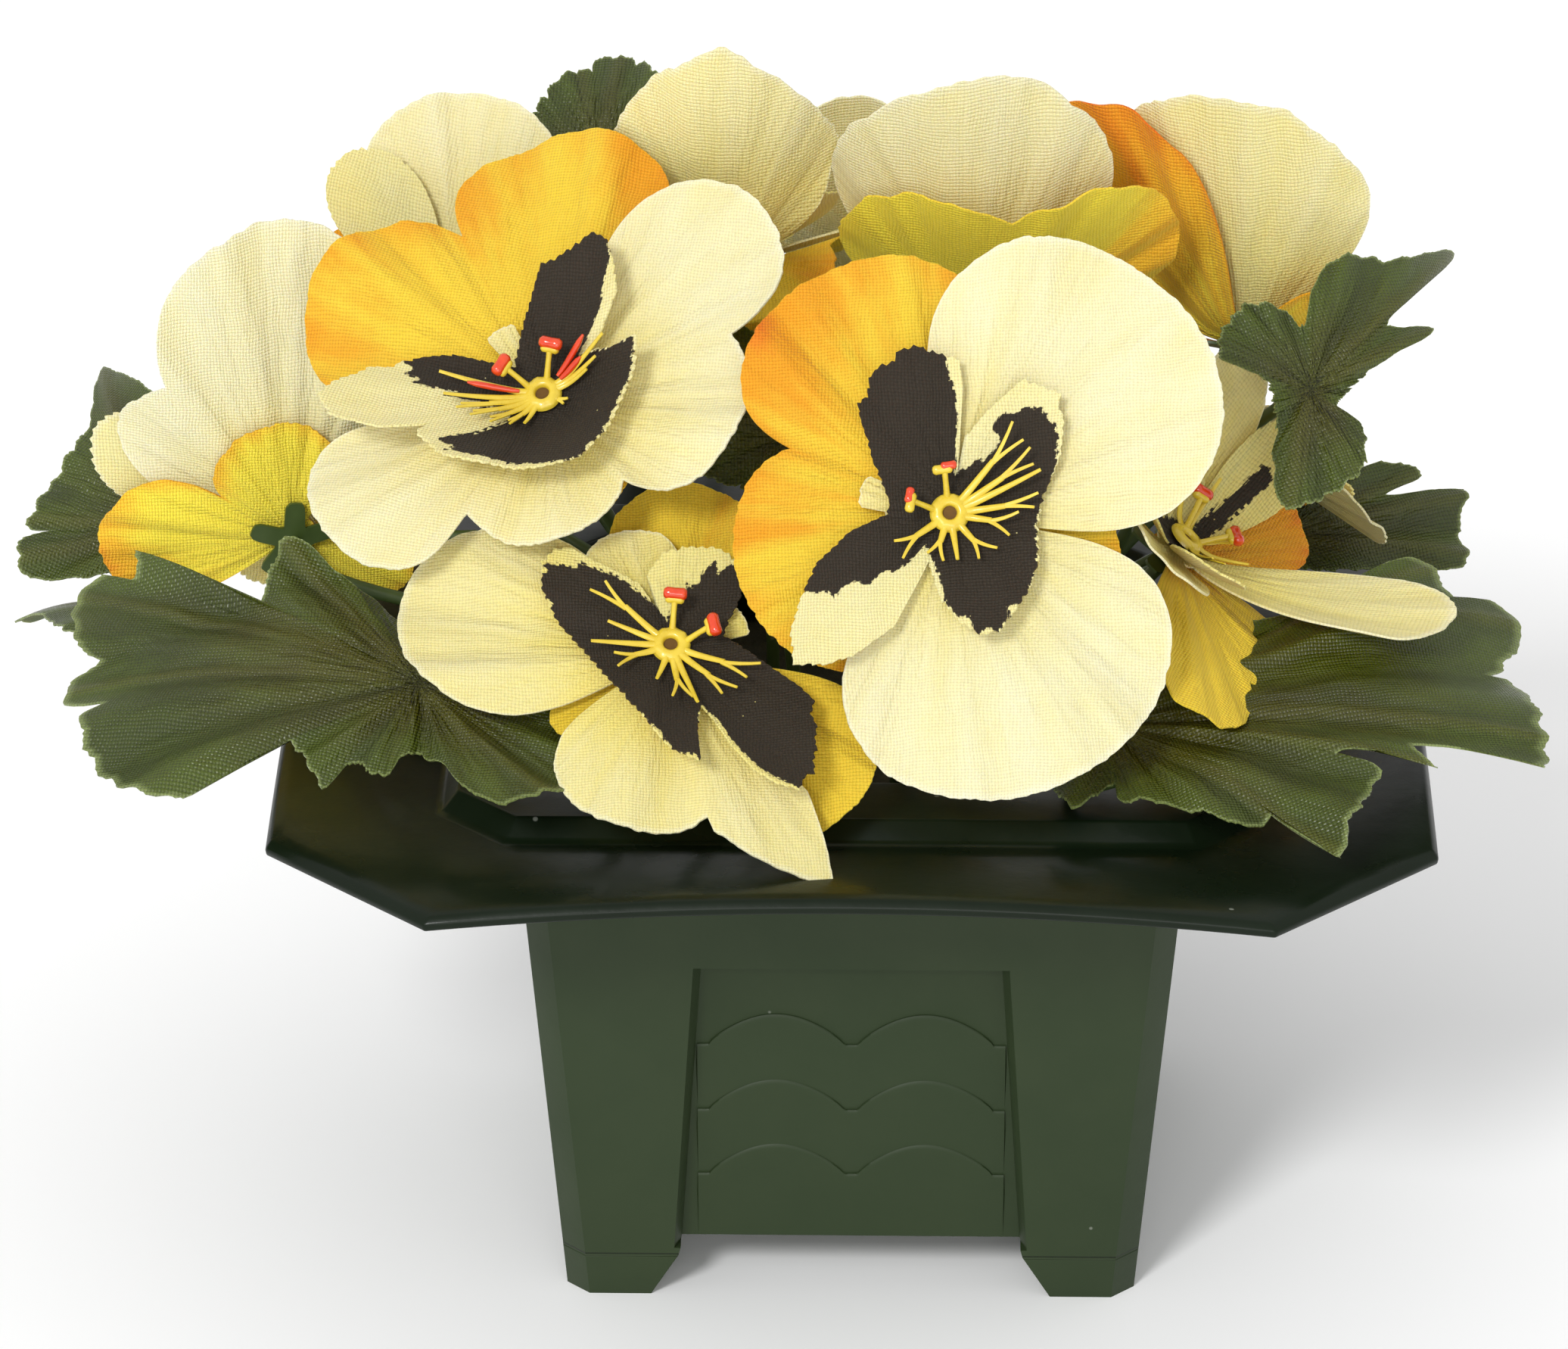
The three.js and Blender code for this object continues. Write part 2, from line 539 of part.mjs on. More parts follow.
function leafFields(spec) {
  const heightAt = (x, y) => {
    const a = spec.spin * RAD;
    const u = (x * Math.cos(a) + y * Math.sin(a)) / spec.size;
    const v = (-x * Math.sin(a) + y * Math.cos(a)) / spec.size;
    const r = Math.hypot(u, v);
    const angle = Math.atan2(v, u);
    const fold = spec.fold * (Math.hypot(v, 4) - 4);
    const ripple = 2.2 * Math.sin(5 * angle + spec.spin) * (r / 38) ** 2;
    return spec.size * ((spec.droop * u * Math.abs(u)) / 30 + fold + ripple - (0.004 * r * r));
  };
  return heightAt;
}

function leafReach(spec, angle) {
  const local = angle - spec.spin;
  const tooth = 1 + 0.045 * Math.cos(local * RAD * 27);
  const base = spec.size < 0.9 ? SMALL_LEAF_BASE : 1;
  const reach = Math.max(9, ...LEAF_FINGERS.map((l) => {
    const share = Math.abs(l[0]) > 100 ? base : 1;
    return strapReach([l[0], l[1], l[2] * share], local);
  }));
  return spec.size * reach * tooth;
}

function leaf(spec) {
  const frame = facing(spec.face[0], spec.face[1]);
  const heightAt = leafFields(spec);
  const rays = sortedRays(LEAF_FINGERS.flatMap((l) => {
    const corner = Math.atan2(l[1], l[2]) / RAD;
    const across = spec.size > 0.9 ? [-0.85, 0, 0.85] : [-0.8, 0.8];
    return [...across.map((f) => l[0] + f * corner), l[3]].map((angle) => angle + spec.spin);
  }), 5, 40);
  const blade = sheet({
    rays, reachAt: (angle) => leafReach(spec, angle), heightAt, eyelet: 0, rings: [0.5, 1],
  });
  const local = (u, v, drop) => {
    const a = spec.spin * RAD;
    const x = u * Math.cos(a) - v * Math.sin(a);
    const y = u * Math.sin(a) + v * Math.cos(a);
    const p = new THREE.Vector3(...spec.at);
    p.addScaledVector(frame.x, x).addScaledVector(frame.y, y);
    return p.addScaledVector(frame.n, heightAt(x, y) - drop);
  };
  const [start, under, exit] = spec.stalk === 'middle'
    ? [local(0, 0, 0), local(-2, 0, 5), local(-4, 0, 14)]
    : [local(6, 0, 0.7), local(-14 * spec.size, 0, 2.2), local(-34 * spec.size, 0, 5.0)];
  const foot = new THREE.Vector3(spec.hole[0], spec.hole[1], STEM_LOW_Z);
  const mouth = foot.clone().setZ(FILL_TOP_Z + 1.5);
  const span = exit.distanceTo(mouth);
  const out = exit.clone().sub(under).normalize();
  const path = [
    start.toArray(), under.toArray(),
    ...bezier(exit, exit.clone().addScaledVector(out, span * 0.3), mouth.clone().setZ(mouth.z + span * 0.55 + 8), mouth, 4),
    foot.toArray(),
  ];
  return { [spec.name]: largest(Manifold.union([placed(blade, frame, spec.at), tube(path, PIN_RADIUS, 4)])) };
}

// Pot

function quarterTurns(body) {
  return [0, 90, 180, 270].map((a) => body.rotate([0, 0, a]));
}

// One row of two arcs on the front panel: a shingle that stands proud along its upper edge.
function waveShingle(row) {
  const zFlat = WAVE_ROW_Z[row];
  const zLow = zFlat - 12.2;
  const panelY = (z) => -(potHalfAt(z) - PANEL_DEPTH);
  const points = [];
  const tris = [];
  const stations = [];
  const peak = (WAVE_END_X + WAVE_CUSP_X) / 2;
  const halfArc = (WAVE_END_X - WAVE_CUSP_X) / 2;
  for (const side of [-1, 1]) {
    for (let k = 0; k <= 3; k += 1) {
      const t = -1 + (2 * k) / 3;
      stations.push([side * peak + t * halfArc, zFlat + WAVE_RISE * Math.cos((Math.PI / 2) * t) ** 0.9]);
    }
  }
  for (const [x, z] of stations) {
    points.push([x, panelY(z) - WAVE_STEP, z], [x, panelY(z) + 0.4, z]);
    points.push([x, panelY(zLow) - 0.04, zLow], [x, panelY(zLow) + 0.4, zLow]);
  }
  for (let k = 0; k + 1 < stations.length; k += 1) {
    const [a, b] = [4 * k, 4 * k + 4];
    const loop = [0, 2, 3, 1];
    for (let i = 0; i < 4; i += 1) {
      const [p, q] = [loop[i], loop[(i + 1) % 4]];
      tris.push([a + p, b + p, b + q], [a + p, b + q, a + q]);
    }
  }
  const e = 4 * (stations.length - 1);
  tris.push([0, 2, 3], [0, 3, 1], [e, e + 3, e + 2], [e, e + 1, e + 3]);
  return solidFrom(points, tris);
}

function panelCut() {
  const front = [];
  for (const [z, half] of [[PANEL_TOP_Z + PANEL_DRAFT, PANEL_TOP_HALF + PANEL_DRAFT],
    [POT_FLOOR_UNDER - 0.5, PANEL_LOW_HALF + PANEL_DRAFT]]) {
    front.push([-half, -potHalfAt(z) - 1, z], [half, -potHalfAt(z) - 1, z]);
  }
  const deep = [];
  for (const [z, half] of [[PANEL_TOP_Z, PANEL_TOP_HALF], [POT_FLOOR_UNDER - 0.5, PANEL_LOW_HALF]]) {
    deep.push([-half, -(potHalfAt(z) - PANEL_DEPTH), z], [half, -(potHalfAt(z) - PANEL_DEPTH), z]);
  }
  return hullOf(front, deep);
}

function legGap() {
  const reach = POT_RIM_HALF + 10;
  const ring = (y) => [
    [-PANEL_LOW_HALF, y, POT_FLOOR_UNDER], [PANEL_LOW_HALF, y, POT_FLOOR_UNDER],
    [FOOT_NOTCH_HALF + 0.6, y, -1], [-FOOT_NOTCH_HALF - 0.6, y, -1],
  ];
  return hullOf(ring(-reach), ring(reach));
}

// The wall behind each panel steps inward with it.
function panelBacking(grow) {
  const deep = PANEL_DEPTH + POT_WALL + grow;
  const ring = (z, half) => [
    [-half, -potHalfAt(z) + 1.2, z], [half, -potHalfAt(z) + 1.2, z],
    [-half, -potHalfAt(z) + deep, z], [half, -potHalfAt(z) + deep, z],
  ];
  return hullOf(
    ring(PANEL_TOP_Z + POT_WALL + grow, PANEL_TOP_HALF + POT_WALL + grow),
    ring(POT_FLOOR_UNDER + 0.5, PANEL_LOW_HALF + POT_WALL + grow),
  );
}

function pot() {
  const outer = hullOf(octagon(POT_FOOT_HALF, POT_CHAMFER, 0), octagon(POT_RIM_HALF, POT_CHAMFER, POT_RIM_Z));
  const cavity = hullOf(
    octagon(potHalfAt(POT_FLOOR_TOP) - POT_WALL, POT_CHAMFER - 0.8, POT_FLOOR_TOP),
    octagon(potHalfAt(POT_RIM_Z + 1) - POT_WALL, POT_CHAMFER - 0.8, POT_RIM_Z + 1),
  );
  const room = Manifold.difference([cavity, ...quarterTurns(panelBacking(0))]);
  const cuts = [...quarterTurns(panelCut()), legGap(), legGap().rotate([0, 0, 90])];
  const shell = Manifold.difference([outer, room, ...cuts]);
  const waves = [0, 1, 2].map(waveShingle);
  return Manifold.union([shell, ...waves.flatMap(quarterTurns)]);
}

function fill(holes) {
  const low = POT_FLOOR_TOP + SEAT_GAP;
  const wall = POT_WALL + SEAT_GAP;
  const block = hullOf(
    octagon(potHalfAt(low) - wall, POT_CHAMFER - 0.6, low),
    octagon(potHalfAt(FILL_TOP_Z) - wall, POT_CHAMFER - 0.6, FILL_TOP_Z),
  );
  const bores = holes.map(([x, y]) => {
    const radius = (PIN_RADIUS + 0.32) / Math.cos(Math.PI / 5);
    return Manifold.cylinder(FILL_TOP_Z - STEM_LOW_Z + 3, radius, radius, 5).translate([x, y, STEM_LOW_Z - 0.5]);
  });
  return Manifold.difference([block, ...quarterTurns(panelBacking(SEAT_GAP)), ...bores]);
}

// The collar is one closed profile carried round a square with cut corners.
function collar() {
  const profile = [
    [HOLE_HALF - 2.0, 6, SKIRT_LOW_Z, 0], [HOLE_HALF - 1.2, 6, RIM_TOP_Z - 1.2, 0],
    [HOLE_HALF + 0.2, 6.5, RIM_TOP_Z, 0], [RIM_HALF - 3.0, RIM_CUT - 1, RIM_TOP_Z, 0],
    [RIM_HALF - 0.6, RIM_CUT, RIM_TOP_Z - 2.9, 0], [RIM_HALF + 0.4, RIM_CUT + 0.3, RIM_TOP_Z - 3.4, 0.05],
    [PLATE_HALF - 3.0, PLATE_CUT - 1, LIP_LOW_Z + LIP_HEIGHT, 0.9],
    [PLATE_HALF - 0.9, PLATE_CUT, LIP_LOW_Z + LIP_HEIGHT - 0.6, 1],
    [PLATE_HALF, PLATE_CUT, LIP_LOW_Z + LIP_HEIGHT - 1.7, 1], [PLATE_HALF - 0.2, PLATE_CUT, LIP_LOW_Z, 1],
    [PLATE_HALF - 2.0, PLATE_CUT - 0.6, LIP_LOW_Z, 1], [PLATE_HALF - 2.4, PLATE_CUT - 0.8, LIP_LOW_Z + 0.7, 1],
    [RIM_HALF + 1.0, RIM_CUT + 1, 88.6, 0.05], [POT_RIM_HALF + 0.4, 4.2, POT_RIM_Z + SEAT_GAP, 0],
    [POT_RIM_HALF - POT_WALL - 0.6, 3.4, POT_RIM_Z + SEAT_GAP, 0],
    [HOLE_HALF + 1.0, 3.4, POT_RIM_Z - 1.5, 0], [HOLE_HALF, 3.4, SKIRT_LOW_Z, 0],
  ];
  const longSteps = 4;
  const points = [];
  const tris = [];
  let columns = 0;
  const corners = profile.map(([half, cut, z]) => octagon(half, cut, z));
  for (let side = 0; side < 8; side += 1) {
    const long = side % 2 === 0;
    const steps = long ? longSteps : 1;
    for (let k = 0; k < steps; k += 1) {
      const t = k / steps;
      profile.forEach(([, , z, arch], i) => {
        const [a, b] = [corners[i][side], corners[i][(side + 1) % 8]];
        const rise = long ? arch * PLATE_ARCH * (1 - (2 * t - 1) ** 2) : 0;
        points.push([a[0] + (b[0] - a[0]) * t, a[1] + (b[1] - a[1]) * t, z + rise]);
      });
      columns += 1;
    }
  }
  const rows = profile.length;
  for (let c = 0; c < columns; c += 1) {
    const d = (c + 1) % columns;
    for (let i = 0; i < rows; i += 1) {
      const j = (i + 1) % rows;
      tris.push([c * rows + i, d * rows + i, d * rows + j], [c * rows + i, d * rows + j, c * rows + j]);
    }
  }
  return solidFrom(points, tris);
}

// Assembly

const COLOURS = {
  pot: [0x3f4a38, 0.55], collar: [0x14241a, 0.25], fill: [0x3a3d2c, 0.95], back_petals: [0xe8c53c, 0.8],
  front_petals: [0xf6ecae, 0.8], stamens: [0xe0bc2c, 0.35], stem: [0x4c6a34, 0.5], leaf: [0x3f5426, 0.7],
};

function colourOf(name) {
  const key = Object.keys(COLOURS).find((k) => name.endsWith(k) || name.startsWith(k));
  return COLOURS[key];
}

function meshOf(name, body) {
  const data = largest(body.translate(SHIFT)).getMesh();
  const geometry = new THREE.BufferGeometry();
  geometry.setAttribute('position', new THREE.BufferAttribute(new Float32Array(data.vertProperties), 3));
  geometry.setIndex(new THREE.BufferAttribute(new Uint32Array(data.triVerts), 1));
  const [colour, roughness] = colourOf(name);
  const mesh = new THREE.Mesh(geometry, new THREE.MeshStandardMaterial({ color: colour, roughness, metalness: 0 }));
  mesh.name = name;
  return mesh;
}

const holes = [...BLOOMS, ...LEAVES].map((spec) => spec.hole);
const bodies = { pot: pot(), collar: collar(), fill: fill(holes) };
for (const spec of BLOOMS) {
  Object.assign(bodies, bloom(spec));
}
for (const spec of LEAVES) {
  Object.assign(bodies, leaf(spec));
}

const group = new THREE.Group();
for (const [name, body] of Object.entries(bodies)) {
  group.add(meshOf(name, body));
}

export default group;
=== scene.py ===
"""A pot of fabric pansies: stamped cloth blooms and leaves over a square pot with a wide collar.

The tables repeat the places and outlines of the solids in millimetres; the meshes are in metres.
"""

import math

import bpy
import numpy as np
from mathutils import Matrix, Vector


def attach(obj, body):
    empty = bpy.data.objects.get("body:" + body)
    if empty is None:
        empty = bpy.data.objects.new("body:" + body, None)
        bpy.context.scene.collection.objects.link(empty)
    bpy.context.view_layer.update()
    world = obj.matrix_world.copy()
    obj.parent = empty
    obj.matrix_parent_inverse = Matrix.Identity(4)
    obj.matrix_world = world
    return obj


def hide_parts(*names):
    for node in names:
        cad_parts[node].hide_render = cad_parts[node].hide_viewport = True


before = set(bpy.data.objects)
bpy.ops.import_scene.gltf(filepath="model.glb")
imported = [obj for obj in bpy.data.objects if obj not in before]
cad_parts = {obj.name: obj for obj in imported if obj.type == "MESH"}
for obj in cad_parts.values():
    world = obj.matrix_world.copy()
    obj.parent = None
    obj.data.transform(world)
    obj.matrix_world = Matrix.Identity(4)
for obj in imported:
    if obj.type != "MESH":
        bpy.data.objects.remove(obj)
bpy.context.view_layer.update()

MM = 0.001
TURN = 2 * math.pi

# Sizes shared with the solids

HUB = 4.2
EYELET = 1.62
BACK_Z = 0.12
FRONT_Z = 1.24
INNER_Z = 2.3
STEM_LOW_Z = 52.0
STEM_MOUTH_Z = 81.0  # just over the fill, where a stem meets its hole
SEAM_Z = 7.6
SHIFT = np.array((15.2, -6.4, 0))  # from the axis of the pot, which the tables start from, to the frame

# Sizes and colours that only the scene has

CLOTH = 0.36
PETAL_PITCH, LEAF_PITCH, THREAD = 0.52, 0.58, 0.5
PALE_RIM, LEAF_RIM, DUST = (0.82, 0.80, 0.66), (0.26, 0.32, 0.11), (0.30, 0.32, 0.27)
INK_HUB = 5.2
PLAIN_INK = ((-99, 99, 0.93), (-99, 0.8, 0.9), (-4.5, 99, 0.95), (-99, 99, 0.9), (-99, 99, 0.9))
# Rays and rings of the sheets. The blooms in front are finer, and their printed layers finer still.
FINE_BLOOMS = "abcde"
FINE_GRID, PLAIN_GRID, PRINT_RINGS = (390, 14), (220, 11), 28
BIG_LEAF, BIG_LEAF_GRID, SMALL_LEAF_GRID = 0.6, (460, 17), (300, 13)

# Each bloom: centre, the way its face looks, hole in the fill, and the lobes of its three layers.
# A petal lobe is (angle, half spread, reach, squareness, lift, curl); an inner lobe is (angle, half width,
# reach, lift, curl). "tip" is (angle, spread before, spread after, reach, reach of its root). "arms" of the
# centre are (angle, reach, half angle of the fork). "spray" gives patches of orange: angle, width, amount.
# "cut" and "blotch" are the outlines of an inner layer and of its print. "ink" gives the printed part of
# each inner lobe instead: from and to across it in millimetres, and how far out in shares of its reach.
# "tall" gives the directions of the stamens and "head" the kind of their heads; "red" gives red threads:
# angle, reach. "tint" is how yellow the pale cloth is, "orange" and "rim" how orange the back one is all
# over and towards its edge, "ruffle" the height of its waves and "bend" how far the stem leaves straight.
PLAIN_BLOOM = dict(bend=0.38, arms=((40, 12, 6), (5, 11, 0), (310, 10, 8), (260, 10, 0), (205, 11, 6)),
                   tall=(98, 168), head="bar", red=(), orange=0.3, rim=0.45, ruffle=2.0, spray=())
BLOOMS = dict(
    a=dict(
        at=(-49.4, -25, 150), face=(-13, 50), hole=(-25, -12),
        back=((98, 27, 50, 0.08, 0.12, -0.05), (153, 34, 46, 0.2, 0.1, 0.05), (300, 50, 22, 0.3, 0, 0)),
        front=((51, 30, 46.5, 0.2, 0.12, 0), (2, 46, 34, 0.22, 0.1, 0.1), (223, 27, 41.5, 0.1, 0.1, -0.05),
               (280, 48, 26, 0.16, 0.08, -0.05), (131, 10, 15, 0.01, 0.1, 0)),
        inner=((86, 8, 31, 0.25, 0.1), (184, 7.5, 36, 0.14, 0.05), (42, 7.5, 19, 0.75, 0.2),
               (228, 7.5, 19, 0.7, 0.2), (318, 10, 14.5, 0.7, 0.2)),
        arms=((44, 12.6, 0), (34, 10, 0), (25, 8, 0), (344, 4.5, 8), (256, 6.5, 0), (242, 8, 3),
              (229, 10, 3), (217, 12, 2), (208, 13.5, 2), (200, 15, 0), (184, 16, 0)),
        tall=(84, 160), red=((56, 10.5), (44, 8), (186, 11.5)), tint=0.15, orange=0.02,
        spray=((78, 7, 0.5), (122, 8, 0.25), (150, 14, 0.15), (172, 8, 0.3)),
        cut=((7, 8), (11, 7.5), (15.5, 8.5), (16, 4), (15, -2), (13.5, -9), (11, -14.5), (4, -17),
             (-7, -17.5), (-12, -17), (-17, -13), (-16, -10.5), (-22.5, -13.5), (-30.5, -13), (-33.5, -9),
             (-32, -5.5), (-29.5, -3), (-28, -0.5), (-24.5, 0.5), (-24, 2), (-20, 4), (-16, 5), (-6, 4.5),
             (-5.5, 13), (-4, 21.5), (-1.5, 22), (4.5, 26), (7, 25), (9, 21), (10.5, 16), (8.5, 10)),
        blotch=((7.5, 26), (8, 21), (8, 16), (6, 8.5), (5, 7), (11, 7.5), (14.5, 8.3), (15.2, 5), (15, 1),
                (14.2, -3), (12.8, -9.5), (10.5, -14.7), (5, -16), (-3, -16), (-10, -15.5), (-12, -16.2),
                (-10.5, -14.5), (-13.5, -13.5), (-8.5, -10), (-5, -6), (-3.5, -2), (-10.5, -4),
                (-9.5, -2.5), (-15, -3), (-13.5, -2), (-20.5, -2), (-19.5, -1), (-22.5, -0.5), (-21.5, 1),
                (-23.5, 2), (-20.5, 5), (-16, 6.5), (-7, 6), (-6.5, 13), (-5, 22.5), (-2, 23.5), (3, 27.5)),
    ),
    b=dict(
        at=(15, -50, 141.5), face=(3, 35), hole=(7, -22),
        back=((116, 39, 44.5, 0.13, 0.02, 0.05), (197, 49, 34.5, 0.15, 0.05, 0), (322, 60, 30, 0.3, 0, 0)),
        front=((45, 54, 49.5, 0.25, 0.08, 0.05), (290, 60, 46.5, 0.22, 0.05, -0.05),
               (163, 11, 14.5, 0.01, 0.05, 0)),
        inner=((108, 8.2, 27.5, 0.2, 0), (50, 8.5, 26, 0.22, 0), (291, 8, 19.5, 0.3, 0.2),
               (222, 7.8, 28.5, 0.12, 0)),
        arms=((47.5, 16.7, 6), (31.5, 15.7, 5), (20.5, 15.3, 0), (4, 13.9, 5), (345, 10.7, 12),
              (308, 9.5, 11), (279, 7.9, 0), (250, 8.1, 11), (216, 10.8, 9)),
        head="side", tint=0.05, orange=0.1, spray=((136, 16, 0.55), (178, 12, 0.3)),
        cut=((1.5, 6.5), (2.5, 12.5), (5.5, 16), (11.5, 21.5), (15, 20), (17.5, 19), (17, 17), (18, 15),
             (17.5, 9), (15, 3), (14, -2), (14, -8), (12.5, -13), (9, -18), (7.5, -20), (4.5, -20.5),
             (1.5, -18.5), (-1.5, -14.5), (-3.5, -8), (-5, -11), (-9, -18.5), (-15.5, -23.5), (-20, -25),
             (-25, -25), (-25.5, -19.5), (-24, -14.5), (-21.5, -8.5), (-16, -3), (-10, 0), (-9.5, 2),
             (-12, 8), (-14, 15), (-14.5, 17.5), (-13, 18.5), (-12.5, 21.5), (-10.5, 23.5), (-8.5, 24),
             (-8, 25.5), (-5, 26.5), (0, 25), (2, 24.5), (2.5, 20), (1.8, 10)),
        blotch=((1, 6.5), (1.7, 15), (1, 20.5), (0.5, 21), (0, 23), (-0.5, 27), (-5, 28), (-9, 27),
                (-13, 24.5), (-15, 21), (-16, 17.5), (-15.5, 14), (-13.5, 7), (-10.5, 2), (-10.5, 1),
                (-16.5, -2), (-22.5, -7.5), (-24, -11), (-23.5, -13), (-19.5, -12.5), (-18.5, -14),
                (-17, -12), (-15, -11), (-13, -11.5), (-11, -9.5), (-9, -9.5), (-5, -6.5), (-4, -5),
                (-2.5, -8), (-1, -14.5), (0.5, -17), (2.5, -18), (3, -21), (5, -19.5), (7, -20),
                (9, -17.5), (8.5, -16), (11, -15.5), (12.2, -13), (13.6, -8), (13.6, -3), (14, 0), (16, 4),
                (17.2, 10), (17, 13), (15.5, 15), (14.5, 16.5), (10, 16), (8, 15), (7.3, 13.3), (8, 11.3),
                (7, 9.7), (4, 8)),
    ),
    c=dict(
        at=(-28.9, -52, 118.3), face=(3, 52), hole=(-13, -33),
        back=((84, 34, 32, 0.2, 0.1, 0), (318, 32, 39, 0.22, 0.02, -0.02), (212, 24, 22, 0.3, 0, 0)),
        front=((167, 44, 44, 0.4, -0.04, 0.02), (258, 42, 33, 0.2, 0.04, -0.05),
               (297, 15, 36, 0.2, 0.09, 0), (112, 34, 23, 0.25, 0.05, 0), (24, 12, 13, 0.01, 0.1, 0)),
        tip=(300.5, 20, 9, 48.5, 33),
        inner=((138, 8, 26, 0.15, 0), (62, 7.5, 21, 0.25, 0), (316, 8.5, 31, 0.15, 0),
               (266, 7.5, 18, 0.4, 0.3)),
        arms=((141.5, 15, 6), (161, 10.4, 0), (181, 12.6, 0), (202.5, 9.9, 9.5), (252.5, 7.3, 0),
              (277.5, 11.7, 8.5), (289.5, 13.2, 0), (310.5, 14.2, 5.5), (331, 15.2, 6.5)),
        tall=(83, 11), tint=0.6, orange=-0.15, rim=0.05, spray=((70, 14, 0.5),),
        cut=((-2, 7), (-4.5, 12.5), (-2, 16), (2, 17), (6.5, 17), (10, 15), (11.5, 12), (11, 8.5),
             (8.5, 2.5), (14, -2.5), (21, -8.5), (23, -11), (22.5, -13.5), (23.5, -16), (23, -18),
             (23.5, -20), (23, -22), (23, -25), (21.5, -25.5), (20.5, -28.5), (17, -27.5), (13.5, -25),
             (10, -20), (7.5, -15), (5, -11.5), (4.5, -17), (5, -24), (0, -21), (-5.5, -13), (-9, -8),
             (-13.5, -2), (-18.5, 4.5), (-20.5, 9), (-20.5, 14), (-18.5, 16.5), (-16, 17), (-12.5, 15),
             (-5, 11.5)),
        blotch=((-0.5, 4.5), (-2, 7), (-5, 9.7), (-8.5, 12.3), (-11.5, 13.5), (-16, 15), (-15, 13.5),
                (-19, 14), (-20.5, 14.5), (-19, 12), (-21.5, 11.5), (-21.5, 8.5), (-18.5, 7), (-19.5, 5),
                (-18, 2.5), (-14, -3), (-9.5, -9), (-6, -13), (-2, -18), (0, -21.5), (2, -22), (5, -24.5),
                (4.5, -19), (4.1, -14.5), (4.6, -11.5), (7, -14.5), (8.5, -18.3), (11, -22), (13.3, -24.9),
                (15, -26.5), (18, -28), (21, -30), (24.5, -25), (25, -20), (24.5, -14), (24, -10),
                (14, -1.5), (9.5, 2.5), (12.5, 8.5), (12.5, 11.5), (11, 13), (9.7, 13.2), (7.7, 12.4),
                (7.3, 13.8), (5.5, 13), (4.7, 11), (3.5, 10), (2.7, 10.7), (2.5, 9), (1, 8.4), (0.5, 7)),
    ),
    d=dict(
        at=(-93.4, 6, 113.2), face=(-168, 12), hole=(-35, 0), bend=0.3,
        back=((0, 36, 32, 0.3, 0.12, 0.1), (78, 47, 21.5, 0.2, 0.2, 0.1), (206, 34, 22, 0.3, 0.2, 0)),
        front=((88, 38, 52, 0.22, 0.2, 0.05), (44, 27, 35, 0.25, 0.2, 0.05), (270, 30, 14, 0.3, 0.1, 0)),
        inner=((25, 7.5, 35, 0.3, 0.05), (110, 7.5, 24, 0.5, 0.1), (200, 7.5, 18, 0.4, 0.1),
               (290, 7.5, 14, 0.3, 0.1)),
        tall=(60, 130), tint=0.1, orange=-0.15, rim=0.8, spray=((-12, 16, 0.6), (40, 16, 0.3)),
    ),
    e=dict(
        at=(51.3, -25, 124.8), face=(80, 50), hole=(27, -16),
        back=((332, 34, 30, 0.25, 0.12, 0.05), (354, 26, 31, 0.25, 0.62, 0.1),
              (207, 29, 39, 0.35, -0.12, 0), (246, 34, 29, 0.2, 0.05, 0)),
        front=((20, 23, 29, 0.25, 0.9, 0.15), (270, 26, 40, 0.3, 0.32, 0.4), (165, 42, 26, 0.3, 0.35, 0.1)),
        inner=((30, 7, 12, 0.75, 0.2), (345, 6, 26, 0.5, 0.15), (200, 7.5, 18, 0.6, 0.1),
               (115, 7.5, 18, 0.6, 0.1)),
        tall=(300, 20), tint=0.6, orange=0.75, ruffle=1.2, spray=((225, 60, -1.6),),
        ink=((-99, 99, 0.4), (-2.0, 1.2, 0.7), (-99, 99, 0.8), (-99, 99, 0.8)),
    ),
    f=dict(
        at=(-67, 27, 144), face=(-20, 50), hole=(-30, 14),
        back=((180, 40, 29, 0.25, 0.3, 0.1), (330, 40, 20, 0.3, 0.1, 0), (100, 40, 24, 0.3, 0.2, 0)),
        front=((98, 48, 36, 0.22, 0.3, 0.1), (168, 22, 15, 0.3, 0.4, 0.1), (280, 40, 17, 0.3, 0.1, 0)),
        inner=((138, 8, 30, 0.4, 0.1), (178, 7, 22, 0.5, 0.1), (20, 7.5, 18, 0.4, 0.1),
               (290, 7.5, 14, 0.4, 0.1)),
        tall=(60, 130), tint=0.2, ruffle=1.3,
        ink=((-99, 99, 0.3), (-99, 99, 0.8), (-99, 99, 0.8), (-99, 99, 0.8)),
    ),
    g=dict(
        at=(-22, 22, 155.5), face=(180, 62), hole=(-10, 8),
        back=((114, 42, 27, 0.2, -0.7, 0), (164, 34, 21, 0.25, 0.5, 0), (30, 34, 20, 0.3, 0.4, 0.1),
              (270, 50, 26, 0.3, 0.2, 0)),
        front=((90, 62, 31, 0.25, 0.8, 0.12), (205, 40, 26, 0.3, 0.3, 0.1), (325, 40, 28, 0.3, 0.3, 0.1)),
        tip=(90, 45, 48, 39, 26),
        inner=((70, 7.5, 20, 1, 0.2), (160, 7.5, 20, 0.6, 0.1), (250, 7.5, 20, 0.4, 0.1),
               (330, 7.5, 18, 0.5, 0.1)),
        tall=(200, 260), tint=0.7, orange=-0.2, rim=0.3, ruffle=0.7, spray=((136, 16, 0.9),),
    ),
    h=dict(
        at=(20, 22, 144.5), face=(180, 60), hole=(10, 6),
        back=((72, 50, 35, 0.25, 0.5, 0.1), (132, 42, 40, 0.25, 0.4, 0.1), (270, 44, 22, 0.3, 0.2, 0)),
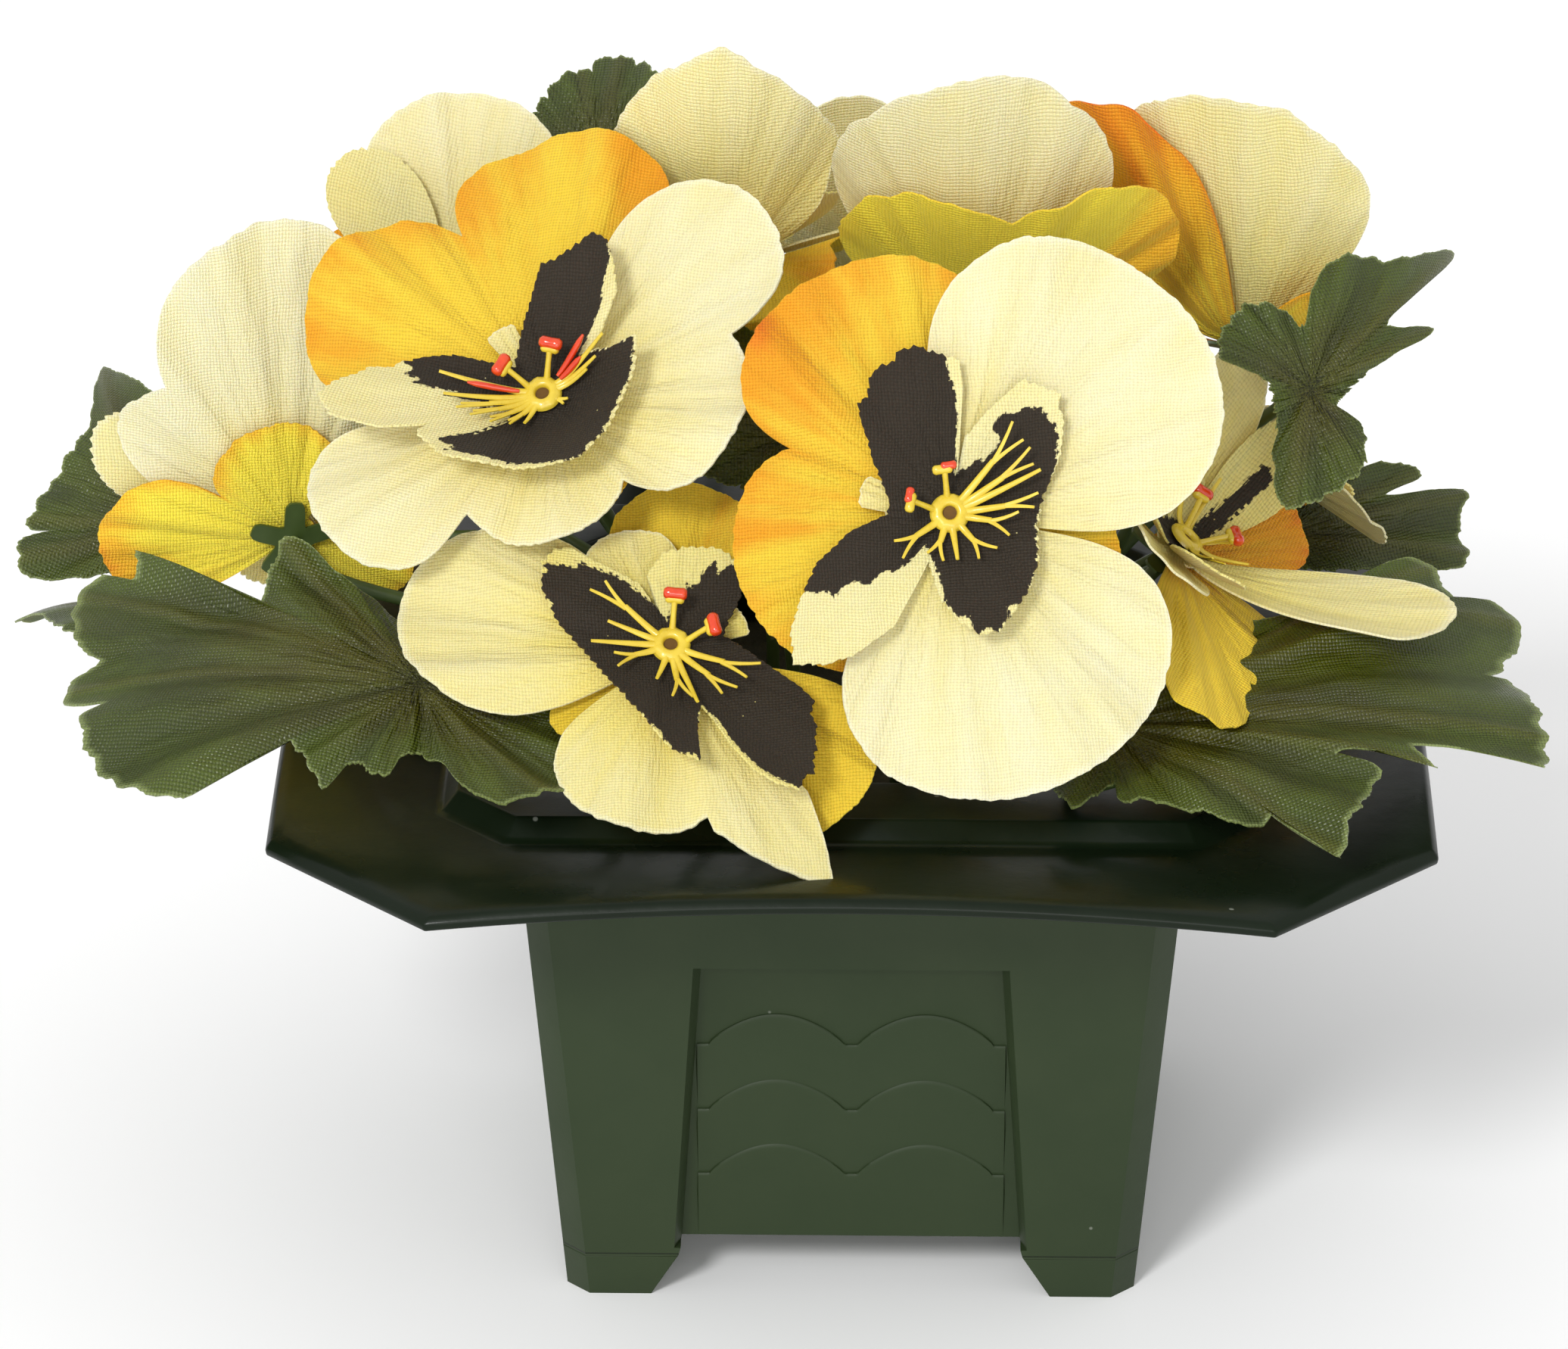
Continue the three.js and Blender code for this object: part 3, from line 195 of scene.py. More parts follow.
        front=((87, 60, 44, 0.32, 0.75, 0.1), (215, 40, 24, 0.3, 0.3, 0.1), (325, 40, 24, 0.3, 0.3, 0.1)),
        inner=((80, 7.5, 22, 1, 0.2), (160, 7.5, 20, 0.6, 0.1), (250, 7.5, 20, 0.4, 0.1),
               (340, 7.5, 18, 0.5, 0.1)),
        tall=(200, 260), tint=0.4, orange=-0.25, rim=0.15, ruffle=0.7, spray=((150, 18, 1.0),),
    ),
    i=dict(
        at=(65, 33, 138), face=(165, 58), hole=(30, 13),
        back=((50, 38, 48, 0.25, 0.66, 0.1), (150, 34, 24, 0.25, 0.4, 0.1), (290, 44, 14, 0.3, 0.2, 0)),
        front=((88, 56, 42, 0.22, 0.75, 0.1), (205, 36, 22, 0.3, 0.5, 0.1), (322, 40, 18, 0.3, 0.3, 0.1)),
        inner=((80, 7.5, 22, 1, 0.2), (160, 7.5, 20, 0.6, 0.1), (250, 7.5, 14, 0.4, 0.1),
               (340, 7.5, 14, 0.5, 0.1)),
        tall=(200, 260), tint=0.8, orange=0.6, ruffle=1.0, spray=((50, 40, 0.35),),
    ),
    j=dict(
        at=(-74, 54, 116), face=(-145, 40), hole=(-32, 30),
        back=((250, 40, 26, 0.25, 0.15, 0), (10, 44, 34, 0.3, 0.15, 0), (130, 50, 28, 0.3, 0.2, 0)),
        front=((80, 52, 34, 0.3, 0.3, 0.1), (200, 44, 30, 0.3, 0.2, 0.1), (315, 40, 26, 0.3, 0.2, 0.1)),
        inner=((120, 7.5, 22, 0.4, 0.1), (60, 7.5, 22, 0.4, 0.1), (220, 7.5, 20, 0.4, 0.1),
               (310, 7.5, 18, 0.4, 0.1)),
        tall=(60, 130), tint=0.3,
    ),
    k=dict(
        at=(2, 66, 131), face=(180, 38), hole=(0, 34),
        back=((128, 38, 32, 0.25, 0.1, 0), (200, 44, 30, 0.3, 0.1, 0), (320, 50, 26, 0.3, 0.1, 0)),
        front=((82, 44, 43, 0.22, 0.33, 0), (285, 56, 30, 0.3, 0.12, 0), (170, 20, 20, 0.2, 0.1, 0)),
        inner=((108, 7.5, 22, 0.4, 0), (50, 7.5, 22, 0.4, 0), (290, 7.5, 18, 0.3, 0.1),
               (222, 7.5, 22, 0.25, 0)),
        tint=0.3,
    ),
    l=dict(
        at=(70, 36, 113), face=(125, 38), hole=(33, 28),
        back=((62, 34, 22, 0.25, 0.1, 0), (240, 44, 8, 0.3, 0.1, 0), (350, 44, 26, 0.3, 0.15, 0)),
        front=((196, 46, 24, 0.3, 0.05, 0), (136, 30, 27, 0.25, 0.15, 0), (290, 44, 13, 0.3, 0.3, 0.1),
               (30, 40, 28, 0.3, 0.2, 0)),
        inner=((142, 7.5, 17, 0.4, 0), (40, 7.5, 20, 0.3, 0), (300, 7.5, 9, 0.3, 0.1),
               (188, 7.5, 15, 0.3, 0)),
        tint=0.6,
    ),
)

# Each leaf: centre, the way its face looks, the turn of its blade, its stalk's hole, and its outline round
# "base", where the ribs meet. "middle" says that the stalk leaves from the centre of the blade. "raised" is
# (direction, from how far out, slope) of a part that is lifted.
PLAIN_LEAF = dict(droop=-0.1, fold=0.2, raised=(0, 99, 0))
LEAVES = dict(
    leaf_front_left=dict(
        at=(-84, -54, 110), face=(-14, 68), spin=184, size=1.06, fold=0.1, hole=(-38, -30), middle=False,
        raised=(115, 27, 0.5), base=(14, 7),
        corners=((19, 10), (7, 22), (-5, 28), (-15, 33), (-17, 25), (-17, 21), (-18, 33), (-25, 42),
                 (-34, 46), (-41, 44), (-43, 37), (-42, 28), (-48, 30), (-52, 26), (-50, 19), (-47, 13),
                 (-43, 11), (-47, 8), (-47, 3), (-43, 0), (-38, -1), (-41, -4), (-39, -9), (-34, -15),
                 (-27, -20), (-18, -21), (-11, -14), (-4, -9), (0, -12), (4, -16), (7, -11), (13, -13),
                 (16, -7), (22, -9), (27, -14), (35, -17), (42, -13), (43, -2), (40, 7), (26, 9)),
    ),
    leaf_front_right=dict(
        at=(74, -54, 106.5), face=(14, 73), spin=-4, size=1.04, droop=-0.05, fold=0.1, hole=(38, -34),
        middle=False, base=(-31, 10),
        corners=((-42, -7), (-34, -3), (-34, -8), (-24, -15), (-17, -20), (-12, -19), (-11, -23),
                 (-5, -30), (-2, -26), (4, -17), (7, -12), (1, -8), (8, -10), (17, -19), (14, -8),
                 (24, -8), (33, -13), (38, -3), (38, 15), (31, 13), (37, 18), (44, 29), (39, 33), (33, 28),
                 (31, 33), (30, 38), (25, 39), (9, 31), (-4, 29), (-9, 32), (-20, 22), (-28, 19),
                 (-38, 16), (-42, 4)),
    ),
    leaf_right_high=dict(
        at=(79, -3, 153), face=(30, 45), spin=32, size=0.66, hole=(39, 12), middle=True, base=(-9, -7),
        corners=((-24, 3), (-15, 10), (-8, 7), (-6, 4), (-1, 11), (7, 15), (18, 13), (35, 16), (28, 11),
                 (10, 2), (15, 0), (17, -2), (6, -5), (-1, -8), (-6, -11), (-3, -16), (-8, -24),
                 (-21, -26), (-20, -17), (-17, -11), (-17, -4), (-21, -1)),
    ),
    leaf_right_mid=dict(
        at=(93, 41.5, 103), face=(30, 42), spin=2, size=0.56, hole=(40, 20), middle=False, base=(-22, 2),
        corners=((-21, 8), (-2, 10), (6, 6), (-2, 4), (13, 2), (10, -4), (6, -12), (-13, -8), (-22, -5),
                 (-25, 2)),
    ),
    leaf_middle=dict(
        at=(-10, -3, 138), face=(0, 30), spin=62, size=0.55, hole=(0, -5), middle=True, base=(0, -2),
        corners=((-16, -8), (-19, 2), (-15, 12), (-12, 19), (-6, 15), (-4, 21), (4, 22), (7, 17), (14, 20),
                 (18, 13), (15, 6), (21, 2), (19, -6), (8, -12), (-6, -12)),
    ),
    leaf_left_high=dict(
        at=(-127, 31, 113), face=(-35, 50), spin=130, size=0.66, hole=(-38, 14), middle=True, base=(17, -4),
        corners=((14, 9), (1, 17), (-17, 22), (-18, 20), (-11, 10), (-9, 0), (-9, -9), (-7, -14), (1, -10),
                 (-7, -16), (-3, -22), (13, -16), (20, -14), (23, -5)),
    ),
    leaf_left_low=dict(
        at=(-112, -15, 102), face=(-30, 74), spin=185, size=0.56, droop=-0.08, fold=0.1, hole=(-39, -14),
        middle=False, base=(-8, 9),
        corners=((-16, 17), (-35, 26), (-44, 19), (-47, 15), (-38, 11), (-24, 2), (-13, 0), (-7, 0),
                 (-3, 8)),
    ),
    leaf_top=dict(
        at=(-43.5, 56, 158.5), face=(-5, 38), spin=100, size=0.52, hole=(-14, 24), middle=True,
        base=(-1, 2),
        corners=((-13, 1), (-14, 8), (-12, 14), (-9, 19), (-5, 21), (-2, 18), (-2, 13), (-3, 19), (-4, 23),
                 (1, 24), (6, 22), (10, 16), (10, 6), (8, -3), (0, -8), (-8, -6)),
    ),
    leaf_back=dict(
        at=(-34, 86, 110), face=(190, 60), spin=268, size=0.7, fold=0.1, hole=(-14, 40), middle=False,
    ),
)


# Form of the cloth

LOBE_BLEND = 38  # degrees over which the lift of one lobe passes into the next
CUT_STEPS = 8  # steps along each straight cut of an outline
OUTLINE_STEPS = 14401  # places round an outline at which its length is measured
TOOTH_SIZES = 400
ROUGH_STEPS = 1441
BACK_CLEAR, INNER_CLEAR = 0.1, 0.075  # how fast two layers draw apart outside the hub
RING_CROWD = 0.85  # under one, the rings of a sheet lie closer together near its edge
ROUGH_FROM, TEETH_FROM = HUB + 2, HUB + 3  # an edge stays plain where it reaches no further than this


def wrapped(angle):
    return (angle + 180) % 360 - 180


def along_aside(x, y, degrees):
    """Places along a direction and aside from it."""
    a = math.radians(degrees)
    return x * math.cos(a) + y * math.sin(a), -x * math.sin(a) + y * math.cos(a)


def petal_reach(lobe, angle):
    """Reach of a rounded lobe at an angle."""
    at, half_spread, reach, squareness = lobe[:4]
    d = np.minimum(np.abs(wrapped(angle - at)) / half_spread, 1)
    return reach * np.cos(math.pi / 2 * d) ** squareness


def lobed(lobes, angle):
    """Reach of an outline made of several rounded lobes."""
    return np.max([petal_reach(lobe, angle) for lobe in lobes], axis=0)


def tip_reach(tip, angle):
    """A pointed tip: its reach falls evenly to each side, down to the reach of its root."""
    at, before, after, reach, root = tip
    d = wrapped(angle - at)
    share = np.where(d < 0, -d / before, d / after)
    return np.where(share < 1, reach + (root - reach) * share, 0)


def strap_reach(at, half_width, reach, angle):
    """Reach of a straight strap with a blunt end."""
    d = np.abs(wrapped(angle - at))
    across = half_width / np.maximum(np.sin(np.radians(np.minimum(d, 90))), 1e-6)
    return np.where(d > 85, 0, (reach ** -7.0 + across ** -7.0) ** (-1 / 7))


def cut_reach(corners, middle=(0, 0)):
    """Reach of a cut outline from its middle, by angle, with straight cuts between its corners."""
    ring = np.array(corners + corners[:1], dtype=float) - middle
    t = np.linspace(0, len(corners), CUT_STEPS * len(corners) + 1)
    x, y = (np.interp(t, np.arange(len(ring)), ring[:, k]) for k in (0, 1))
    angle = np.degrees(np.unwrap(np.arctan2(y, x)))
    if angle[-1] < angle[0]:
        x, y, angle = x[::-1], y[::-1], angle[::-1]
    angle = np.maximum.accumulate(angle)
    start = angle[0]
    angle = (angle - start) * 360 / (angle[-1] - start)
    return lambda at: np.interp((at - start) % 360, angle, np.hypot(x, y))


def rounded(corners, steps=6):
    """The corners of an outline joined by smooth curves."""
    b = np.array(corners, dtype=float)
    a, c, d = (np.roll(b, k, axis=0)[:, None] for k in (1, -1, -2))
    b = b[:, None]
    t = (np.arange(steps) / steps)[None, :, None]
    curve = b + 0.5 * t * (c - a + t * (2 * a - 5 * b + 4 * c - d + t * (3 * (b - c) + d - a)))
    return tuple(map(tuple, curve.reshape(-1, 2)))


def margin_inside(corners, x, y):
    """Distance from points to an edge given by its corners, positive inside it."""
    px, py = np.array(corners, dtype=float).T
    dx, dy = np.roll(px, -1) - px, np.roll(py, -1) - py
    x, y = x[:, None], y[:, None]
    t = np.clip(((x - px) * dx + (y - py) * dy) / (dx * dx + dy * dy), 0, 1)
    near = np.hypot(x - px - t * dx, y - py - t * dy).min(axis=1)
    level = np.where(dy == 0, 1e-9, dy)
    crossed = ((py > y) != (py + dy > y)) & (x < px + (y - py) * dx / level)
    return np.where(crossed.sum(axis=1) % 2 == 1, near, -near)


def lift_field(lobes, wave=1.0):
    """Height of a layer above the hub: the lift and curl that end each lobe, blended by angle."""
    def height(x, y):
        angle = np.degrees(np.arctan2(y, x))
        h = np.maximum(np.hypot(x, y) - HUB * 0.95, 0)
        weights = [np.exp(-((wrapped(angle - lobe[0]) / LOBE_BLEND) ** 2)) + 1e-6 for lobe in lobes]
        total = sum(weights, 1e-9)
        lift, curl = (sum(w * lobe[k] for w, lobe in zip(weights, lobes)) / total for k in (-2, -1))
        ripple = wave * np.sin(np.radians(5 * angle) + lobes[0][0]) * (h / 30) ** 2
        return h / (h + 2) * h * (lift + curl * h / 40) + ripple
    return height


def above(floor, own):
    return own + (floor - own + np.hypot(floor - own, 0.5)) / 2


def bloom_fields(spec):
    """Heights of the back, front and inner layer. The other two keep clear of the front one."""
    front, back_own = lift_field(spec["front"]), lift_field(spec["back"])
    inner_own = lift_field(spec["inner"], wave=0)

    def spread(x, y):
        return np.maximum(np.hypot(x, y) - HUB, 0)

    def back(x, y):
        return -above(-(front(x, y) - BACK_CLEAR * spread(x, y)), -back_own(x, y)) + BACK_Z

    def inner(x, y):
        return above(front(x, y) + INNER_CLEAR * spread(x, y), inner_own(x, y)) + INNER_Z

    return back, lambda x, y: front(x, y) + FRONT_Z, inner


def ruffle(seed, amount, counts):
    """Soft pressed waves that run out from the hub and grow towards the edge."""
    rng = np.random.default_rng(seed)
    phases = rng.uniform(0, TURN, len(counts))
    shares = rng.uniform(0.6, 1.0, len(counts))

    def height(x, y):
        angle = np.arctan2(y, x)
        total = sum(s * np.sin(n * angle + p) for n, p, s in zip(counts, phases, shares))
        return amount * total / len(counts) * (np.hypot(x, y) / 30) ** 1.4
    return height


def edge_noise(seed, amount, teeth=90):
    """Small irregularities of a cut edge, the same all the way round."""
    rng = np.random.default_rng(seed)
    counts = rng.integers(teeth // 2, teeth, 5)
    phases = rng.uniform(0, TURN, 5)
    rough = rng.uniform(-1, 1, ROUGH_STEPS)
    rough[-1] = rough[0]

    def offset(angle):
        a = np.radians(angle % 360)
        waves = sum(np.sin(n * a + p) for n, p in zip(counts, phases)) / 5
        return amount * (waves + 0.6 * np.interp(a / TURN, np.linspace(0, 1, ROUGH_STEPS), rough))
    return offset


def pinked(seed, pitch, depth):
    """Zigzag teeth along a cut edge, by distance along it."""
    sizes = np.random.default_rng(seed).uniform(0.35, 1.0, TOOTH_SIZES)

    def offset(along):
        count = along / pitch
        tooth = 1 - np.abs((count % 1) * 2 - 1)
        return -depth * tooth * sizes[np.floor(count).astype(int) % TOOTH_SIZES]
    return offset


def facing(azimuth, elevation):
    """The three axes of a piece that looks that way, in degrees: right, up and out of its face."""
    a, e = math.radians(azimuth), math.radians(elevation)
    n = np.array([math.sin(a) * math.cos(e), -math.cos(a) * math.cos(e), math.sin(e)])
    x = np.array([math.cos(a), math.sin(a), 0.0])
    return np.stack([x, np.cross(n, x), n])


def to_world(spec, x, y, z):
    local = np.stack(np.broadcast_arrays(x, y, z), axis=-1)
    return local @ facing(*spec["face"]) + np.array(spec["at"]) + SHIFT


# Mesh making

def deselect():
    for other in bpy.context.selected_objects:
        other.select_set(False)


def activate(obj):
    deselect()
    obj.select_set(True)
    bpy.context.view_layer.objects.active = obj


def edit_all(obj, *steps):
    """Takes the steps on every face of a piece, in edit mode."""
    activate(obj)
    bpy.ops.object.mode_set(mode="EDIT")
    bpy.ops.mesh.select_all(action="SELECT")
    for step in steps:
        step()
    bpy.ops.object.mode_set(mode="OBJECT")


def merge_seam(obj, distance=2e-6):
    edit_all(obj, lambda: bpy.ops.mesh.remove_doubles(threshold=distance),
             lambda: bpy.ops.mesh.dissolve_degenerate(threshold=1e-7))


def face_out(obj):
    edit_all(obj, lambda: bpy.ops.mesh.normals_make_consistent(inside=False))


def apply_modifier(obj, kind, **settings):
    made = obj.modifiers.new(kind.lower(), kind)
    for key, value in settings.items():
        setattr(made, key, value)
    activate(obj)
    bpy.ops.object.modifier_apply(modifier=made.name)


def smooth(obj, degrees=50):
    activate(obj)
    bpy.ops.object.shade_smooth_by_angle(angle=math.radians(degrees))


def name_it(obj, name):
    obj.name = obj.data.name = name
    return obj


def add_grid(name, columns, rows):
    """A flat grid, with the share across and along of each of its points."""
    deselect()
    bpy.ops.mesh.primitive_grid_add(x_subdivisions=columns, y_subdivisions=rows, size=1, location=(0, 0, 0))
    obj = name_it(bpy.context.object, name)
    co = np.empty(len(obj.data.vertices) * 3)
    obj.data.vertices.foreach_get("co", co)
    return obj, co[0::3] + 0.5, co[1::3] + 0.5


def set_points(obj, points):
    obj.data.vertices.foreach_set("co", np.ascontiguousarray(points * MM, dtype=np.float32).ravel())
    obj.data.update()


def set_attribute(obj, name, values):
    """Gives every point a number, or three of them."""
    kind, member = ("FLOAT_VECTOR", "vector") if np.ndim(values) == 2 else ("FLOAT", "value")
    layer = obj.data.attributes.new(name, kind, "POINT")
    layer.data.foreach_set(member, np.ascontiguousarray(values, dtype=np.float32).ravel())


def join(name, pieces):
    activate(pieces[0])
    for piece in pieces[1:]:
        piece.select_set(True)
    bpy.ops.object.join()
    return name_it(bpy.context.object, name)


def dress(obj, *finishes):
    obj.data.materials.clear()
    for finish in finishes:
        obj.data.materials.append(finish)
    return obj


def cloth_sheet(name, spec, reach_at, height_at, eyelet, rays, rings, teeth=None, centre=(0, 0)):
    """One stamped layer of cloth: a grid wrapped round the hub and cut to its outline."""
    obj, across, out = add_grid(name, rays, rings)
    dense = np.linspace(0, 360, OUTLINE_STEPS)
    reach = reach_at(dense)
    px, py = reach * np.cos(np.radians(dense)), reach * np.sin(np.radians(dense))
    length = np.concatenate([[0], np.cumsum(np.hypot(np.diff(px), np.diff(py)))])
    along = (1 - across) * length[-1]
    angle = np.interp(along, length, dense)
    edge = reach_at(angle)
    if teeth is not None:
        edge = edge + np.where(edge > TEETH_FROM, teeth(along), 0)
    r = eyelet + (edge - eyelet) * out ** RING_CROWD
    x, y = r * np.cos(np.radians(angle)), r * np.sin(np.radians(angle))
    set_attribute(obj, "flat", np.stack([x, y, out], axis=-1))
    x, y = x + centre[0], y + centre[1]
    set_points(obj, to_world(spec, x, y, height_at(x, y)))
    return obj, x, y, out


def thicken(obj, thick=CLOTH):
    """Gives a sheet its two sides, the second one in its second finish."""
    merge_seam(obj)
    apply_modifier(obj, "SOLIDIFY", thickness=thick * MM, offset=0, material_offset=1, material_offset_rim=0)
    smooth(obj)
    return obj


def rod(path, radii, finish, sides=8, flatten=1.0, up=None):
    """A rounded rod along a path, closed at both ends, with one radius for each point."""
    path = np.asarray(path, dtype=float)
    radii = np.asarray(radii, dtype=float)
    steps = len(path) - 1
    obj, around, along = add_grid("rod", sides, steps + 2)
    row = np.rint(along * (steps + 2)).astype(int)
    station = np.clip(row - 1, 0, steps)
    closing = (row == 0) | (row == steps + 2)
    tangents = np.gradient(path, axis=0)
    tangents /= np.linalg.norm(tangents, axis=1, keepdims=True)
    if up is None:
        up = (1.0, 0, 0) if abs(tangents[0][0]) < 0.8 else (0, 1.0, 0)
    aside = []
    for t in tangents:
        up = up - t * np.dot(up, t)
        up = up / np.linalg.norm(up)
        aside.append(up)
    aside = np.array(aside)
    a = around * TURN
    radius = np.where(closing, 0, radii[station])[:, None]
    set_points(obj, path[station] + radius * (aside[station] * (np.cos(a) * flatten)[:, None]
                                              + np.cross(tangents, aside)[station] * np.sin(a)[:, None]))
    merge_seam(obj)
    smooth(obj, 60)
    return dress(obj, finish)


def bezier(p0, p1, p2, p3, steps=20):
    t = np.linspace(0, 1, steps + 1)[:, None]
    return (1 - t) ** 3 * p0 + 3 * (1 - t) ** 2 * t * p1 + 3 * (1 - t) * t ** 2 * p2 + t ** 3 * p3


def stalk(hole, top, leave, out, span_from, bend, rise, radii):
    """A stem that curves from two points at its top down into its hole in the fill."""
    foot, mouth = np.array([*hole, STEM_LOW_Z]), np.array([*hole, STEM_MOUTH_Z])
    span = np.linalg.norm(span_from - mouth)
    over_mouth = mouth + np.array([0, 0, span * rise[0] + rise[1]])
    path = [*top, *bezier(leave, leave + out * span * bend, over_mouth, mouth), foot]
    return rod(np.array(path) + SHIFT, [*radii[:2]] + [radii[2]] * 22, STEM, 10)


# Shader graphs

class Value:
    """One output of a shader graph, which can be added, multiplied and so on."""

    def __init__(self, graph, socket):
        self.graph, self.socket = graph, socket

    def also(self, name):
        """Another output of the same node."""
        return Value(self.graph, self.socket.node.outputs[name])

    def __add__(self, other):
        return self.graph.math("ADD", self, other)

    def __sub__(self, other):
        return self.graph.math("SUBTRACT", self, other)

    def __rsub__(self, other):
        return self.graph.math("SUBTRACT", other, self)

    def __mul__(self, other):
        return self.graph.math("MULTIPLY", self, other)

    def __truediv__(self, other):
        return self.graph.math("DIVIDE", self, other)

    def __rtruediv__(self, other):
        return self.graph.math("DIVIDE", other, self)


class Graph:
    """Short words for the nodes that the finishes below are made of."""

    def __init__(self, tree):
        self.tree = tree

    def put(self, socket, value):
        if isinstance(value, Value):
            self.tree.links.new(value.socket, socket)
        elif value is not None:
            socket.default_value = value

    def node(self, kind, inputs=(), output=0, **settings):
        """Adds a node, fills its inputs by number or name, and gives one of its outputs."""
        made = self.tree.nodes.new("ShaderNode" + kind)
        for key, value in settings.items():
            setattr(made, key, value)
        for key, value in inputs.items() if isinstance(inputs, dict) else enumerate(inputs):
            self.put(made.inputs[key], value)
        return Value(self, made.outputs[output])

    def math(self, operation, a, b=None, clamp=False):
        return self.node("Math", (a, b), operation=operation, use_clamp=clamp)

    def floor(self, a):
        return self.math("FLOOR", a)

    def scaled(self, vector, factor):
        return self.node("VectorMath", {0: vector, 3: factor}, operation="SCALE")

    def split(self, vector):
        x = self.node("SeparateXYZ", (vector,))
        return x, x.also(1), x.also(2)

    def combine(self, x, y, z):
        return self.node("CombineXYZ", (x, y, z))

    def length(self, x, y):
        return self.math("SQRT", x * x + y * y)

    def noise(self, vector, scale, detail=2.0, rough=0.5):
        return self.node("TexNoise", dict(Vector=vector, Scale=scale, Detail=detail, Roughness=rough))

    def random(self, dimensions, place):
        entry = "W" if dimensions == "1D" else "Vector"
        return self.node("TexWhiteNoise", {entry: place}, noise_dimensions=dimensions)

    def remap(self, value, low, high, to_low=0.0, to_high=1.0):
        return self.node("MapRange", (value, low, high, to_low, to_high), interpolation_type="SMOOTHSTEP")

    def mix(self, factor, a, b, blend="MIX"):
        a, b = (c if isinstance(c, Value) else (*c, 1) for c in (a, b))
        return self.node("Mix", {0: factor, 6: a, 7: b}, 2, data_type="RGBA", blend_type=blend,
                         clamp_factor=True)

    def darker(self, colour, share):
        return self.mix(1.0, colour, (share, share, share), "MULTIPLY")

    def attribute(self, name):
        return self.node("Attribute", output="Vector" if name == "flat" else "Fac", attribute_name=name)

    def place_mm(self):
        return self.scaled(self.node("TexCoord", output="Object"), 1000.0)

    def use(self, tree, output, **values):
        return self.node("Group", values, output, node_tree=tree)

    def cloud(self, place, size):
        return self.use(MOTTLE, "Tone", Place=place, Size=size)

    def creases(self, flat, folds, seed):
        return self.use(CREASES, "Height", Flat=flat, Folds=folds, Seed=seed)

    def specks(self, place, spacing, share):
        return self.use(SPECKS, "Mask", Place=place, Spacing=spacing, Share=share)

    def bump(self, height, strength, distance, normal=None):
        return self.node("Bump", dict(Strength=strength, Distance=distance, Height=height, Normal=normal))


def new_group(name, inputs, outputs):
    """A node group whose first input is a vector; its other inputs and all its outputs are numbers."""
    tree = bpy.data.node_groups.new(name, "ShaderNodeTree")
    for way, labels in (("INPUT", inputs), ("OUTPUT", outputs)):
        for label in labels:
            kind = "Vector" if label == inputs[0] else "Float"
            tree.interface.new_socket(name=label, in_out=way, socket_type="NodeSocket" + kind)
    g = Graph(tree)
    given = tree.nodes.new("NodeGroupInput").outputs[:len(inputs)]
    return g, [Value(g, socket) for socket in given], tree.nodes.new("NodeGroupOutput").inputs


def make_weave():
    """Plain weave from the lie of the cloth: thread height, and a shade that mixes light and dark threads
    with painted shade where the threads lie low.
    """
    g, (flat, pitch), out = new_group("plain weave", ("Flat", "Pitch"), ("Height", "Shade"))
    sway = g.noise(g.scaled(flat, 0.12), 1.0, 1.0)
    x, y, _ = g.split(flat)
    u, v = (x + sway * 1.6) / pitch, (y + sway * -1.3) / pitch
    su, sv = (g.math("SINE", w * math.pi) for w in (u, v))
    over = su * sv * 0.5 + 0.5
    height = g.math("ABSOLUTE", su) * over + g.math("ABSOLUTE", sv) * (1.0 - over)
    column, row = g.floor(u), g.floor(v)
    threads = g.random("1D", column) * 0.3 + g.random("1D", row + 91.3) * 0.3
    threads = threads + g.random("3D", g.combine(column, row, 0.0)) * 0.4
    g.put(out["Height"], height)
    # Shade: painted shade from the thread height, mixed with the real light and dark threads
    g.put(out["Shade"], height * 0.76 + threads * 0.24)
    return g.tree


def make_creases():
    """Creases pressed into a layer, running out from its hub."""
    g, (flat, folds, seed), out = new_group("pressed creases", ("Flat", "Folds", "Seed"), ("Height",))
    x, y, _ = g.split(flat)
    r = g.length(x, y) + 0.5
    k = folds / r
    g.put(out["Height"], g.noise(g.combine(x * k, y * k, r * 0.035 + seed), 1.0, 3.0, 0.55))
    return g.tree


def make_mottle():
    """Cloudy change of tone over a surface, two sizes of cloud."""
    g, (place, size), out = new_group("cloudy tone", ("Place", "Size"), ("Tone",))
    near = g.noise(g.scaled(place, 1.0 / size), 1.0, 3.0, 0.6)
    wide = g.noise(g.scaled(place, 0.31 / size), 1.0, 2.0, 0.5)
    g.put(out["Tone"], g.remap(near * 0.5 + wide * 0.5, 0.3, 0.7))
    return g.tree


def make_specks():
    """Small pale specks of dust, scattered singly."""
    g, (place, spacing, share), out = new_group("dust specks", ("Place", "Spacing", "Share"), ("Mask",))
    cell = g.node("TexVoronoi", dict(Vector=g.scaled(place, 1.0 / spacing), Scale=1.0), "Distance",
                  feature="F1")
    chosen = g.math("LESS_THAN", g.split(cell.also("Color"))[0], share)
    g.put(out["Mask"], g.remap(cell, 0.03, 0.055, 1.0, 0.0) * chosen)
    return g.tree


WEAVE = make_weave()
CREASES = make_creases()
MOTTLE = make_mottle()
SPECKS = make_specks()


# Finishes of cloth

def new_finish(name, roughness, **constants):
    finish = bpy.data.materials.new(name)
    finish.use_nodes = True
    shader = finish.node_tree.nodes["Principled BSDF"]
    for key, value in dict(constants, Roughness=roughness).items():
        shader.inputs[key.replace("_", " ")].default_value = value
    return finish, Graph(finish.node_tree), shader.inputs


